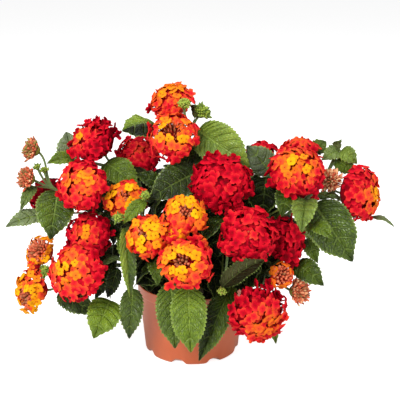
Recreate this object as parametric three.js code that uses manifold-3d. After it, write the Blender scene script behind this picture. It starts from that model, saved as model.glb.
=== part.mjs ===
// A potted lantana: a round nursery pot with a scalloped foot, the substrate in it, sixteen leafy stems
// that stand in holes in the substrate, and the flower heads and bud heads on their stalks.
// Millimetres, +Z up, -Y is the front, and the origin is the centre of the pot's underside.
import * as THREE from "three";
import { ConvexHull } from "three/addons/math/ConvexHull.js";
import { mergeVertices } from "three/addons/utils/BufferGeometryUtils.js";
import Module from "manifold-3d";

const wasm = await Module();
wasm.setup();

// ---- Driving dimensions ----

const CLEARANCE = 0.3; // between solids that rest on each other
const POT = {
  height: 70,
  rimRadius: 52.5,
  rimBand: 10, // height of the thicker band under the lip
  rimStep: 1.2, // how far the band stands out from the wall
  shoulder: 0.8, // height of the slope from the wall out to the band
  lipRound: 0.6,
  footRadius: 45.5,
  footRound: 2, // between the wall and the base
  wall: 1.4,
  base: 1.6,
  notches: 8,
  notchLift: 4, // how far the foot's edge rises in each notch
  notchTurn: -16.5, // degrees from the front to the first notch
  notchInner: 36, // radius where a notch starts to rise
  segments: 32,
  drainRadius: 3,
  drainRing: 31,
  drainSides: 6,
};
const SOIL = {
  edgeHeight: 58.5,
  crown: 3.5, // how far the middle stands above the edge
  roughness: 0.8,
  rings: [0.75, 0.4], // shares of the edge's radius
  segments: 20,
};
const HOLE = { floor: 47, clearance: 1.1, sides: 5 };
const STEM = {
  footRadius: 2.4,
  tipRadius: 1.4,
  straightTo: 66, // height where a shoot starts to bend
  upright: 0.35, // share of the rise beyond it that keeps the shoot's foot upright
  steps: 5,
};
const STALK = { radius: 1.1, bend: 0.4, steps: 3 };
const LEAF = {
  thickness: 1.4, // at the midrib, near the base
  thinning: 0.6, // share of the thickness lost on the way to the tip
  petiole: 0.85,
  fold: 18, // degrees that each half rises from the midrib
  arch: 5, // how far the middle stands above the line from base to tip
  widest: 0.38, // share of the length where the blade is widest
  fullness: 0.42,
  toothPitch: 12,
  teeth: [3, 5], // fewest and most on each side
  crest: 0.72, // shares of a tooth's pitch where it stands out most, and where it has fallen back
  gash: 0.86,
  gashDepth: 0.15,
  lastTooth: 0.4, // length of the bare tip, in pitches
};
// Distances in a head are shares of its radius, and angles are seen from its middle, in radians.
const HEAD = {
  flatness: 0.74,
  capAngle: THREE.MathUtils.degToRad(94), // from the top to the lowest florets
  seatDepth: 0.5,
  seatRadius: 2.2, // of the flat seat that the stalk comes up to, in millimetres
  tuck: 0.28, // how far the underside is drawn in
};
const FLORET = {
  throat: 0.92,
  notch: 0.9, // between two lobes
  groove: 0.72, // between two florets
  reach: 0.92, // shares of the way to the next floret: a lobe's, and a notch's
  waist: 0.66,
  widest: 0.5,
  unevenness: 0.035,
};
const BUD_HEAD = { buds: 12, groove: 0.8 };
const GREEN_BUDS = { buds: 5, groove: 0.78, stalkEnd: 0.4 };
const BUD_UNEVENNESS = 0.06;
const GOLDEN_ANGLE = Math.PI * (3 - Math.sqrt(5));

// ---- Vectors and solids ----

const vec = (x, y, z) => new THREE.Vector3(x, y, z);
const vecOf = (row) => new THREE.Vector3(...row);
const along = (point, direction, distance) => point.clone().addScaledVector(direction, distance);
const toward = (from, to) => to.clone().sub(from).normalize();
const squareTo = (v, axis) => along(v, axis, -v.dot(axis)).normalize();

// Four corners round a centre, counterclockwise seen from ahead, the first one to the side.
function squareRing(centre, ahead, side, radius) {
  const other = ahead.clone().cross(side);
  return [
    along(centre, side, radius),
    along(centre, other, radius),
    along(centre, side, -radius),
    along(centre, other, -radius),
  ];
}

// A closed BufferGeometry as a manifold solid, with shared corners merged and collapsed faces dropped.
function solidOf(geometry) {
  const bare = geometry.clone();
  bare.deleteAttribute("normal");
  bare.deleteAttribute("uv");
  const merged = mergeVertices(bare, 1e-4);
  const kept = [];
  for (let i = 0; i < merged.index.count; i += 3) {
    const [a, b, c] = [0, 1, 2].map((k) => merged.index.getX(i + k));
    if (a !== b && b !== c && c !== a) kept.push(a, b, c);
  }
  return new wasm.Manifold(
    new wasm.Mesh({
      numProp: 3,
      vertProperties: merged.attributes.position.array,
      triVerts: new Uint32Array(kept),
    }),
  );
}

function solidFrom(corners, faces) {
  return solidOf(
    new THREE.BufferGeometry()
      .setAttribute("position", new THREE.Float32BufferAttribute(corners.flatMap((c) => c.toArray()), 3))
      .setIndex(faces.flat()),
  );
}

function meshOf(name, solid, material) {
  const { vertProperties, triVerts } = solid.getMesh();
  const geometry = new THREE.BufferGeometry()
    .setAttribute("position", new THREE.BufferAttribute(vertProperties, 3))
    .setIndex(new THREE.BufferAttribute(triVerts, 1));
  const mesh = new THREE.Mesh(geometry, material);
  mesh.name = name;
  return mesh;
}

const fuse = (solids) => solids.reduce((sum, next) => sum.add(next));

// Rings of equal count, each counterclockwise seen from ahead, skinned into one closed body.
function loft(rings) {
  const n = rings[0].length;
  const last = (rings.length - 1) * n;
  const faces = [];
  for (let r = 0; r < rings.length - 1; r++)
    for (let k = 0; k < n; k++) {
      const [a, b] = [r * n + k, r * n + ((k + 1) % n)];
      faces.push([a, b, b + n], [a, b + n, a + n]);
    }
  for (let k = 1; k < n - 1; k++) faces.push([0, k + 1, k], [last, last + k, last + k + 1]);
  return solidFrom(rings.flat(), faces);
}

// A four-angled stem through the points, its corners carried along without twist. It ends square to
// endWay, where one is given.
function squareStem(points, radiusAt, endWay) {
  const final = points.length - 1;
  let side = vec(1, 0, 0);
  const rings = points.map((point, i) => {
    const chord = toward(points[Math.max(i - 1, 0)], points[Math.min(i + 1, final)]);
    const tangent = i === final && endWay ? endWay : chord;
    side = squareTo(Math.abs(side.dot(tangent)) > 0.95 ? vec(0, 1, 0) : side, tangent);
    return squareRing(point, tangent, side, radiusAt(i / final));
  });
  return loft(rings);
}

// ---- Pot and substrate ----

// 1 in the middle of a foot notch and 0 on the lobes; the angle is measured from the front towards +X.
function notchAt(x, y) {
  const angle = Math.atan2(x, -y) - THREE.MathUtils.degToRad(POT.notchTurn);
  return THREE.MathUtils.smoothstep(Math.cos(POT.notches * angle), 0.2, 1);
}

const wallRadius = (z) =>
  POT.footRadius + ((POT.rimRadius - POT.rimStep - POT.footRadius) * z) / (POT.height - POT.rimBand / 2);

function potSolid() {
  const { height, rimRadius, rimBand, rimStep, shoulder, lipRound, wall, base } = POT;
  const { footRadius, footRound, notchInner, drainRadius, drainRing, drainSides } = POT;
  const bandFoot = height - rimBand;
  const bandRadius = wallRadius(bandFoot);
  const profile = [
    [0, 0],
    [notchInner, 0],
    [footRadius - footRound, 0],
    [footRadius, footRound],
    [bandRadius, bandFoot],
    [bandRadius + rimStep, bandFoot + shoulder],
    [rimRadius, height - lipRound],
    [rimRadius - wall, height],
    [bandRadius + rimStep - wall, bandFoot + shoulder + wall],
    [bandRadius - wall, bandFoot + wall / 2],
    [wallRadius(base + footRound) - wall, base + footRound],
    [footRadius - footRound, base],
    [notchInner, base],
    [0, base],
  ];
  const points = profile.map(([r, z]) => new THREE.Vector2(r, z));
  const shell = new THREE.LatheGeometry(points, POT.segments).rotateX(Math.PI / 2);
  shell.rotateZ(THREE.MathUtils.degToRad(POT.notchTurn));
  const position = shell.attributes.position;
  for (let i = 0; i < position.count; i++) {
    const [x, y, z] = [position.getX(i), position.getY(i), position.getZ(i)];
    const isFoot = Math.hypot(x, y) > notchInner + CLEARANCE && z < base + footRound + CLEARANCE;
    if (isFoot) position.setZ(i, z + POT.notchLift * notchAt(x, y));
  }
  const drains = Array.from({ length: POT.notches }, (_, k) => {
    const angle = THREE.MathUtils.degToRad(POT.notchTurn - 90 + (k * 360) / POT.notches);
    return solidOf(
      new THREE.CylinderGeometry(drainRadius, drainRadius, 4 * base, drainSides)
        .rotateX(Math.PI / 2)
        .translate(drainRing * Math.cos(angle), drainRing * Math.sin(angle), 0),
    );
  });
  return solidOf(shell).subtract(fuse(drains));
}

// The substrate fills the pot above its raised foot, and is crowned and a little lumpy on top. Every shoot
// has a plain hole in it.
function soilSolid(feet) {
  const { base, wall, notchInner, notchLift, footRound } = POT;
  const { edgeHeight, crown, roughness, rings, segments } = SOIL;
  const innerRadius = (z) => wallRadius(z) - wall - CLEARANCE;
  const floor = base + CLEARANCE;
  const shelf = floor + notchLift + footRound;
  const edge = innerRadius(edgeHeight);
  const profile = [
    [0, floor],
    [notchInner - wall, floor],
    [innerRadius(shelf) - footRound, shelf],
    [innerRadius(shelf), shelf + footRound],
    [edge, edgeHeight],
    ...rings.map((share) => [share * edge, edgeHeight]),
    [0, edgeHeight],
  ];
  const points = profile.map(([r, z]) => new THREE.Vector2(r, z));
  const block = new THREE.LatheGeometry(points, segments).rotateX(Math.PI / 2);
  const position = block.attributes.position;
  for (let i = 0; i < position.count; i++) {
    const [x, y, z] = [position.getX(i), position.getY(i), position.getZ(i)];
    const inward = Math.max(0, 1 - Math.hypot(x, y) / edge);
    const lumps = roughness * (Math.sin(0.31 * x + 1.1) + Math.cos(0.27 * y - 0.5));
    const isTop = z > edgeHeight - CLEARANCE;
    if (isTop) position.setZ(i, z + crown * Math.sqrt(inward) + lumps * Math.min(1, 4 * inward));
  }
  const radius = STEM.footRadius + HOLE.clearance;
  const depth = edgeHeight + 2 * crown - HOLE.floor;
  const holes = feet.map(([x, y]) =>
    solidOf(
      new THREE.CylinderGeometry(radius, radius, depth, HOLE.sides)
        .rotateX(Math.PI / 2)
        .translate(x, y, HOLE.floor + depth / 2),
    ),
  );
  return solidOf(block).subtract(fuse(holes));
}

// ---- Leaves ----

// An ovate, serrate blade on its stalk. The section is a flat diamond: two midrib lines, above and below,
// and two toothed edges, so both faces are split alike. The blade is folded up a little along the midrib
// and arched from base to tip; each tooth rises slowly and falls back at once, pointing to the tip.
function leafSolid(from, base, tip, { width, roll = 0, arch = LEAF.arch, fold = LEAF.fold }) {
  const length = base.distanceTo(tip);
  const teeth = THREE.MathUtils.clamp(Math.round(length / LEAF.toothPitch), ...LEAF.teeth);
  const ahead = toward(base, tip);
  const turn = THREE.MathUtils.degToRad(roll);
  const left = vec(-ahead.y, ahead.x, 0).normalize().applyAxisAngle(ahead, turn);
  const upper = ahead.clone().cross(left);
  const rise = THREE.MathUtils.degToRad(fold);
  const { widest, fullness, petiole } = LEAF;
  const narrowing = fullness * (1 / widest - 1);
  const bulge = (s) => (s / widest) ** fullness * ((1 - s) / (1 - widest)) ** narrowing;
  const halfWidth = (s) => Math.max(petiole, (width / 2) * bulge(s));
  const spine = (s) => along(along(base, ahead, length * s), upper, arch * 4 * s * (1 - s));
  const rib = (s, face) => along(spine(s), upper, (face * LEAF.thickness * (1 - LEAF.thinning * s)) / 2);
  const edge = (s, hand, out) => {
    const reach = halfWidth(s) * out;
    return along(along(spine(s), left, hand * reach * Math.cos(rise)), upper, reach * Math.sin(rise));
  };

  const pitch = 1 / (teeth + LEAF.lastTooth);
  const ribAt = [];
  const edgeAt = [];
  for (let k = 0; k < teeth; k++) {
    edgeAt.push([(k + LEAF.crest) * pitch, 1], [(k + LEAF.gash) * pitch, 1 - LEAF.gashDepth]);
    ribAt.push((k + LEAF.gash) * pitch);
  }
  const stalkWay = toward(from, base);
  const halfway = stalkWay.clone().add(ahead).normalize();
  const corners = [
    ...squareRing(from, stalkWay, squareTo(left, stalkWay), petiole),
    ...squareRing(base, halfway, squareTo(left, halfway), petiole),
  ];
  const lineOf = (first, rest) => {
    const start = corners.length;
    corners.push(...rest);
    return [first, ...rest.map((_, i) => start + i)];
  };
  const edgeLeft = lineOf(4, edgeAt.map(([s, out]) => edge(s, 1, out)));
  const ribTop = lineOf(5, ribAt.map((s) => rib(s, 1)));
  const edgeRight = lineOf(6, edgeAt.map(([s, out]) => edge(s, -1, out)));
  const ribUnder = lineOf(7, ribAt.map((s) => rib(s, -1)));
  corners.push(tip);
  const end = corners.length - 1;

  const faces = [[0, 2, 1], [0, 3, 2]];
  for (let k = 0; k < 4; k++) {
    const next = (k + 1) % 4;
    faces.push([k, next, 4 + next], [k, 4 + next, 4 + k]);
  }
  const panel = (margin, ridge, flip) => {
    const put = (a, b, c) => faces.push(flip ? [b, a, c] : [a, b, c]);
    for (let k = 0; k < teeth; k++) {
      put(margin[2 * k], ridge[k], margin[2 * k + 1]);
      put(ridge[k], ridge[k + 1], margin[2 * k + 1]);
      put(margin[2 * k + 1], ridge[k + 1], margin[2 * k + 2]);
    }
    put(margin[2 * teeth], ridge[teeth], end);
  };
  panel(edgeLeft, ribTop, false);
  panel(edgeRight, ribTop, true);
  panel(edgeRight, ribUnder, false);
  panel(edgeLeft, ribUnder, true);
  return solidFrom(corners, faces);
}

// ---- Flower heads ----

// Directions spread evenly over a cap round +Z, as florets open in spirals.
function capDirections(count, spin) {
  const low = Math.cos(HEAD.capAngle);
  return Array.from({ length: count }, (_, i) => {
    const z = 1 - ((i + 0.5) / count) * (1 - low);
    const turn = i * GOLDEN_ANGLE + spin;
    const r = Math.sqrt(1 - z * z);
    return vec(r * Math.cos(turn), r * Math.sin(turn), z);
  });
}

// The triangles of the hull of some directions, as rows of their indices.
function hullFaces(directions) {
  const placeOf = new Map(directions.map((direction, i) => [direction, i]));
  return new ConvexHull().setFromPoints(directions).faces.map((face) => {
    const around = [];
    let edge = face.edge;
    do {
      around.push(placeOf.get(edge.head().point));
      edge = edge.next;
    } while (edge !== face.edge);
    return around;
  });
}

// A floret's own view: bearings round its mouth, and directions at a bearing and a tilt from it.
function viewFrom(mouth) {
  const across = squareTo(Math.abs(mouth.z) > 0.9 ? vec(1, 0, 0) : vec(0, 0, 1), mouth);
  const other = mouth.clone().cross(across);
  return {
    bearing: (direction) => Math.atan2(direction.dot(other), direction.dot(across)),
    direction: (bearing, tilt) =>
      mouth
        .clone()
        .multiplyScalar(Math.cos(tilt))
        .addScaledVector(across, Math.sin(tilt) * Math.cos(bearing))
        .addScaledVector(other, Math.sin(tilt) * Math.sin(bearing)),
  };
}

// Triangles between an inner and an outer loop of [bearing, corner], both in order of bearing.
function zip(inner, outer) {
  const turn = 2 * Math.PI;
  const at = (loop, i) => loop[i % loop.length][0] + turn * Math.floor(i / loop.length);
  const corner = (loop, i) => loop[i % loop.length][1];
  const faces = [];
  let [i, j] = [0, 0];
  while (i < inner.length || j < outer.length) {
    const innerNext = j >= outer.length || (i < inner.length && at(inner, i + 1) < at(outer, j + 1));
    const [a, b] = [corner(inner, i), corner(outer, j)];
    faces.push(innerNext ? [a, b, corner(inner, i + 1)] : [a, b, corner(outer, j + 1)]);
    if (innerNext) i++;
    else j++;
  }
  return faces;
}

// A dome on its round underside. It is shared out among its florets or buds, each inside its own cell; the
// corners of the cells lie as deep as the groove, which so runs round every one. fillCell gets what it
// needs to build one floret in its cell: its own direction, its view, the cell's corners in order, the
// room to the next floret at each bearing, and how to put a corner.
function headSolid({ centre, axis, radius }, mouths, groove, fillCell) {
  const sites = [...mouths, vec(0, 0, -1)];
  const upright = new THREE.Quaternion().setFromUnitVectors(vec(0, 0, 1), axis);
  const corners = [];
  const put = (direction, distance) => {
    const squashed = direction.clone().multiply(vec(1, 1, HEAD.flatness));
    corners.push(along(centre, squashed.applyQuaternion(upright), distance * radius));
    return corners.length - 1;
  };
  const cellsOf = sites.map(() => []);
  for (const face of hullFaces(sites)) {
    const [a, b, c] = face.map((i) => sites[i]);
    const low = b.clone().sub(a).cross(c.clone().sub(a)).normalize();
    const corner = put(low, groove + HEAD.tuck * Math.min(0, low.z));
    for (const i of face) cellsOf[i].push([low, corner]);
  }
  const loops = sites.map((site, i) => {
    const view = viewFrom(site);
    const loop = cellsOf[i].map(([low, corner]) => [view.bearing(low), corner]);
    return loop.sort((p, q) => p[0] - q[0]);
  });

  const faces = mouths.flatMap((mouth, i) => {
    const view = viewFrom(mouth);
    const others = sites.filter((site) => site !== mouth);
    const room = (bearing) => {
      const halves = others.map((site) => {
        const facing = Math.cos(view.bearing(site) - bearing);
        return facing > 0.01 ? Math.atan(Math.tan(mouth.angleTo(site) / 2) / facing) : Math.PI;
      });
      return Math.min(...halves);
    };
    return fillCell({ i, mouth, view, cell: loops[i], room, put });
  });
  const seatReach = HEAD.seatRadius / radius;
  const below = viewFrom(vec(0, 0, -1));
  const seat = [0, 1, 2, 3].map((k) => {
    const bearing = ((k - 1.5) * Math.PI) / 2;
    const way = below.direction(bearing, Math.atan2(seatReach, HEAD.seatDepth));
    return [bearing, put(way, Math.hypot(seatReach, HEAD.seatDepth))];
  });
  const under = zip(seat, loops[loops.length - 1]);
  const [s0, s1, s2, s3] = seat.map(([, corner]) => corner);
  return solidFrom(corners, [...faces, ...under, [s0, s1, s2], [s0, s2, s3]]);
}

// A dome of open florets. Each is a plate of four lobes round a throat, with four notches between them,
// turned and raised a little unlike its neighbours.
function bloomSolid({ florets, ...head }) {
  const mouths = capDirections(florets, 0);
  return headSolid(head, mouths, FLORET.groove, ({ i, mouth, view, cell, room, put }) => {
    const lift = 1 + FLORET.unevenness * Math.sin(5.1 * i);
    const turn = (1 + ((i * 3) % 7)) / 9;
    const throat = put(mouth, FLORET.throat * lift);
    const outline = Array.from({ length: 8 }, (_, k) => {
      const isLobe = k % 2 === 0;
      const bearing = ((k + turn - 4) * Math.PI) / 4;
      const tilt = (isLobe ? FLORET.reach : FLORET.waist) * Math.min(room(bearing), FLORET.widest);
      return [bearing, put(view.direction(bearing, tilt), (isLobe ? 1 : FLORET.notch) * lift)];
    });
    const top = outline.map(([, corner], k) => [throat, corner, outline[(k + 1) % 8][1]]);
    return [...top, ...zip(outline, cell)];
  });
}

// A head of closed buds: each bud rises to one blunt point.
function budHeadSolid({ buds, groove, ...head }) {
  return headSolid(head, capDirections(buds, 0.4), groove, ({ i, mouth, cell, put }) => {
    const tip = put(mouth, 1 - BUD_UNEVENNESS * (i % 3));
    return cell.map(([, corner], k) => [tip, corner, cell[(k + 1) % cell.length][1]]);
  });
}

// ---- The plant ----

const blade = (at, base, tip, width, more = {}) => ({
  at,
  base: vecOf(base),
  tip: vecOf(tip),
  width,
  ...more,
});
const onStalk = (at, centre, axis, radius) => ({
  at,
  centre: vecOf(centre),
  axis: vecOf(axis).normalize(),
  radius,
});
const bloom = (name, at, centre, axis, radius, florets) => ({
  name: "bloom_" + name,
  ...onStalk(at, centre, axis, radius),
  florets,
});
const budHead = (name, at, centre, axis, radius) => ({
  name: "bud_head_" + name,
  ...onStalk(at, centre, axis, radius),
  ...BUD_HEAD,
});
const greenBuds = (at, centre, axis, radius, groove = GREEN_BUDS.groove) => ({
  ...onStalk(at, centre, axis, radius),
  buds: GREEN_BUDS.buds,
  groove,
});

// Each shoot stands at foot in the substrate, rises, leans over towards lean and ends at tip. What it
// carries leaves it at a share of its length: 0 at the substrate, 1 at the tip. A leaf is given by its
// base, tip and width, a head by its middle, the way it faces, its radius and its florets.
const shoots = [
  {
    name: "top",
    foot: [-3, 7],
    lean: [-8, 12, 170],
    tip: [-2, 4, 206],
    leaves: [
      blade(0.8, [-34, 4, 224], [-62, -14, 221], 32, { roll: -30, fold: -22 }),
      blade(0.86, [6, 6, 216], [54, -21, 187], 42, { roll: 57, arch: 6 }),
      blade(0.72, [10, 8, 186], [42, 24, 172], 30),
      blade(0.7, [-12, 16, 176], [-18, 48, 158], 28),
      blade(0.55, [4, 26, 164], [8, 56, 168], 28),
    ],
    blooms: [
      bloom("top", 0.97, [-18, 14, 241], [-0.3, -0.3, 0.9], 22, 12),
      bloom("top_front", 0.9, [-16, -22, 217], [0, -0.78, 0.62], 23.5, 13),
    ],
    greens: [
      greenBuds(1, [-6, -12, 245], [0.1, -0.4, 0.9], 6.5),
      greenBuds(1, [10, 3, 234], [0.6, -0.3, 0.7], 8, 0.5),
    ],
  },
  {
    name: "centre",
    foot: [4, -7],
    lean: [2, -12, 140],
    tip: [12, -24, 172],
    leaves: [
      blade(0.96, [5, -22, 185], [-37, -48, 168], 36, { roll: -50 }),
      blade(0.8, [38, -42, 150], [11, -72, 132], 30, { roll: 10 }),
      blade(0.7, [22, 0, 140], [34, 30, 134], 26),
    ],
    blooms: [
      bloom("centre", 0.95, [27, -44, 179], [0.1, -0.75, 0.65], 28.5, 15),
      bloom("middle_upper", 0.7, [-2, -80, 162], [0.1, -0.7, 0.7], 20, 12),
    ],
    greens: [],
  },
  {
    name: "left_top",
    foot: [-11, 9],
    lean: [-32, 10, 146],
    tip: [-72, 8, 180],
    leaves: [
      blade(0.98, [-112, 17, 184], [-119, 22, 211], 30, { roll: -45 }),
      blade(0.94, [-109, -2, 189], [-132, -20, 191], 18, { roll: -39 }),
      blade(0.9, [-80, -3, 188], [-49, -24, 168], 33, { roll: 45 }),
      blade(0.75, [-62, 30, 160], [-92, 48, 158], 30),
      blade(0.6, [-44, 34, 142], [-56, 62, 154], 26),
    ],
    blooms: [
      bloom("left_top", 1, [-89, -5, 207], [-0.5, -0.45, 0.75], 24, 13),
      bloom("left_inner", 0.85, [-51, 24, 186], [0, -0.75, 0.65], 22, 12),
    ],
    greens: [],
  },
  {
    name: "left_far",
    foot: [-19, 3],
    lean: [-66, 10, 140],
    tip: [-124, -3, 160],
    leaves: [
      blade(0.97, [-146, -12, 167], [-156, -34, 150], 13, { roll: -27, arch: 7 }),
      blade(0.9, [-116, 22, 138], [-130, 52, 128], 26),
      blade(0.72, [-94, 22, 130], [-116, 48, 124], 30),
    ],
    blooms: [
      bloom("left_upper", 0.8, [-96, -48, 178], [-0.35, -0.75, 0.55], 24, 13),
      bloom("left_behind", 0.98, [-140, 13, 151], [-0.8, 0.3, 0.5], 18, 11),
    ],
    budHeads: [
      budHead("far_upper", 1, [-148, -5, 201], [-0.8, -0.35, 0.4], 11.5),
      budHead("far_lower", 1, [-151, -22, 178], [-0.75, -0.45, 0.4], 11.5),
    ],
    greens: [
      greenBuds(1, [-137, -6, 181], [-0.4, -0.2, 0.9], 4),
    ],
  },
  {
    name: "left_middle",
    foot: [-14, -6],
    lean: [-48, -14, 130],
    tip: [-84, -30, 146],
    leaves: [
      blade(1, [-122, -29, 167], [-126, -58, 131], 38, { roll: -16 }),
      blade(0.97, [-138, -22, 141], [-169, -41, 137], 20, { roll: -39 }),
      blade(0.7, [-50, -40, 126], [-62, -66, 114], 24),
    ],
    blooms: [
      bloom("left_middle", 0.96, [-92, -50, 131], [-0.3, -0.85, 0.4], 22.5, 13),
      bloom("left_centre", 0.85, [-59, -42, 163], [-0.1, -0.75, 0.65], 20, 12),
    ],
    greens: [
      greenBuds(0.85, [-64, -64, 153], [-0.2, -0.6, 0.7], 5),
    ],
  },
  {
    name: "left_low",
    foot: [-18, -11],
    lean: [-52, -26, 108],
    tip: [-100, -48, 94],
    leaves: [
      blade(0.95, [-119, -54, 80], [-88, -74, 64], 28, { roll: 42 }),
      blade(0.8, [-74, -60, 73], [-87, -88, 48], 34, { roll: -29 }),
      blade(0.7, [-60, -46, 104], [-82, -58, 104], 17),
      blade(0.7, [-70, -18, 100], [-96, -6, 96], 28),
    ],
    blooms: [
      bloom("left_lower", 0.95, [-100, -80, 108], [-0.35, -0.8, 0.45], 26, 14),
      bloom("far_left_upper", 1, [-140, -30, 109], [-0.6, -0.5, 0.6], 16, 8),
      bloom("far_left_lower", 1, [-146, -42, 76], [-0.85, -0.45, 0.25], 22, 13),
    ],
    greens: [
      greenBuds(1, [-133, -49, 97], [-0.5, -0.6, 0.6], 6),
    ],
  },
  {
    name: "front_left",
    foot: [-8, -16],
    lean: [-18, -36, 125],
    tip: [-44, -58, 142],
    leaves: [
      blade(1, [-40, -60, 168], [-59, -70, 150], 15, { roll: -42 }),
      blade(0.97, [-58, -66, 145], [-53, -91, 88], 21, { roll: 4, arch: 6, fold: 45 }),
      blade(0.6, [-53, -58, 84], [-56, -78, 43], 24, { roll: -12 }),
      blade(0.55, [-34, -66, 112], [-29, -86, 98], 16),
    ],
    blooms: [
      bloom("middle_left", 0.95, [-37, -86, 147], [-0.45, -0.75, 0.5], 20.5, 12),
    ],
    greens: [
      greenBuds(1, [-40, -62, 173], [-0.2, -0.5, 0.8], 5),
    ],
  },
  {
    name: "front_low",
    foot: [0, -19],
    lean: [-2, -40, 110],
    tip: [-5, -72, 110],
    leaves: [
      blade(0.9, [-18, -80, 98], [-14, -98, 43], 33, { roll: 8 }),
      blade(0.98, [-2, -88, 98], [0, -108, 44], 35, { roll: 10 }),
      blade(0.6, [-24, -52, 100], [-46, -62, 96], 22),
    ],
    blooms: [
      bloom("middle_lower", 1, [-6, -108, 128], [-0.1, -0.85, 0.5], 23, 13),
    ],
    greens: [],
  },
  {
    name: "front_right",
    foot: [9, -15],
    lean: [20, -34, 110],
    tip: [36, -58, 122],
    leaves: [
      blade(0.7, [37, -58, 88], [7, -84, 24], 30, { roll: -42, fold: 30 }),
      blade(0.85, [27, -95, 100], [62, -118, 134], 22, { roll: -59 }),
      blade(0.8, [56, -44, 110], [80, -28, 98], 26),
    ],
    blooms: [
      bloom("right_centre", 1, [49, -88, 145], [0.1, -0.9, 0.4], 25, 14),
    ],
    greens: [
      greenBuds(0.85, [27, -94, 96], [0.1, -0.7, 0.5], 4.5),
    ],
  },
  {
    name: "right_middle",
    foot: [15, -5],
    lean: [40, -14, 130],
    tip: [72, -32, 146],
    leaves: [
      blade(1, [104, -44, 163], [96, -82, 146], 27, { fold: 28 }),
      blade(0.95, [89, -36, 169], [80, -62, 154], 25, { roll: -14 }),
      blade(0.75, [60, -16, 112], [84, -4, 96], 28),
    ],
    blooms: [
      bloom("right_inner", 0.95, [84, -48, 127], [0.7, -0.6, 0.4], 22.5, 13),
    ],
    greens: [],
  },
  {
    name: "right_top",
    foot: [11, 6],
    lean: [28, 12, 150],
    tip: [80, -4, 172],
    leaves: [
      blade(0.95, [73, -6, 179], [51, -4, 204], 29, { roll: -70 }),
      blade(0.98, [118, 34, 188], [130, 36, 198], 18, { roll: 60 }),
      blade(0.9, [69, -20, 178], [65, -38, 145], 34),
      blade(0.8, [70, 26, 150], [100, 44, 140], 30),
      blade(0.6, [46, 28, 146], [60, 56, 158], 26),
    ],
    blooms: [
      bloom("right_top", 1, [95, -38, 187], [0, -0.6, 0.8], 27, 15),
      bloom("right_behind", 0.98, [103, 16, 194], [0.1, -0.1, 0.97], 17.5, 10),
      bloom("right_far_behind", 0.9, [66, 21, 190], [-0.3, 0.1, 0.95], 16, 9),
    ],
    greens: [],
  },
  {
    name: "right_far",
    foot: [19, 3],
    lean: [112, 6, 114],
    tip: [138, 8, 198],
    leaves: [
      blade(0.75, [112, -28, 155], [146, -56, 109], 47, { roll: 46 }),
      blade(0.6, [109, -56, 144], [124, -80, 139], 16, { roll: 34 }),
      blade(0.72, [162, -14, 134], [188, -28, 132], 14),
      blade(0.99, [138, 5, 196], [121, -4, 190], 17, { roll: -46 }),
      blade(0.99, [140, 5, 197], [154, -6, 187], 18, { roll: 50 }),
      blade(0.94, [136, 6, 188], [151, 0, 176], 20, { roll: 58 }),
      blade(0.7, [124, 20, 144], [152, 36, 132], 30),
    ],
    blooms: [
      bloom("right_far", 0.8, [153, -22, 163], [0.8, -0.5, 0.2], 26.5, 13),
    ],
    budHeads: [
      budHead("right", 0.86, [128, -15, 174], [-0.2, -0.9, 0.35], 12),
    ],
    greens: [],
  },
  {
    name: "right_low",
    foot: [17, -13],
    lean: [40, -26, 102],
    tip: [72, -50, 94],
    leaves: [
      blade(1, [97, -40, 101], [120, -62, 88], 25, { roll: 44 }),
      blade(0.85, [66, -54, 56], [77, -74, 36], 16),
      blade(0.95, [108, -30, 122], [115, -52, 106], 18, { roll: 29 }),
      blade(0.75, [66, -20, 98], [92, -6, 86], 28),
    ],
    blooms: [
      bloom("right_lower", 0.9, [59, -86, 73], [0.3, -0.9, 0.05], 26.5, 14),
      bloom("right_low_open", 1, [80, -74, 103], [0.2, -0.8, 0.5], 13, 8),
    ],
    budHeads: [
      budHead("right_low", 1, [98, -60, 82], [0.85, -0.5, 0.2], 13),
    ],
    greens: [],
  },
  {
    name: "back_left",
    foot: [-11, 18],
    lean: [-36, 36, 116],
    tip: [-70, 62, 118],
    leaves: [
      blade(0.9, [-86, 40, 108], [-116, 42, 92], 30),
      blade(0.8, [-58, 78, 96], [-70, 106, 76], 30),
      blade(0.6, [-28, 58, 108], [-22, 88, 96], 26),
    ],
    blooms: [
      bloom("back_left", 1, [-96, 74, 132], [-0.6, 0.6, 0.5], 21, 10),
      bloom("back_left_inner", 0.9, [-54, 88, 126], [-0.2, 0.85, 0.45], 20, 9),
    ],
    greens: [],
  },
  {
    name: "back",
    foot: [0, 20],
    lean: [-2, 44, 116],
    tip: [2, 66, 122],
    leaves: [
      blade(0.9, [-10, 84, 96], [-18, 106, 66], 30),
      blade(0.8, [22, 78, 92], [32, 104, 70], 30),
      blade(0.7, [14, 44, 116], [32, 40, 138], 24),
      blade(0.85, [-18, 62, 136], [-32, 76, 158], 24),
    ],
    blooms: [
      bloom("back", 1, [-8, 96, 124], [-0.1, 0.85, 0.45], 21, 9),
      bloom("back_upper", 0.95, [26, 66, 138], [0.2, 0.5, 0.85], 20, 9),
    ],
    greens: [],
  },
  {
    name: "back_right",
    foot: [11, 18],
    lean: [40, 36, 118],
    tip: [78, 56, 120],
    leaves: [
      blade(0.9, [92, 36, 108], [120, 32, 92], 30),
      blade(0.85, [72, 80, 94], [84, 106, 72], 30),
      blade(0.6, [44, 56, 100], [40, 84, 78], 26),
      blade(0.8, [76, 52, 138], [90, 68, 160], 24),
    ],
    blooms: [
      bloom("back_right", 0.95, [66, 90, 128], [0.2, 0.8, 0.5], 22, 9),
      bloom("back_far_right", 1, [112, 64, 136], [0.7, 0.5, 0.5], 20, 9),
    ],
    greens: [],
  },
];

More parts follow.
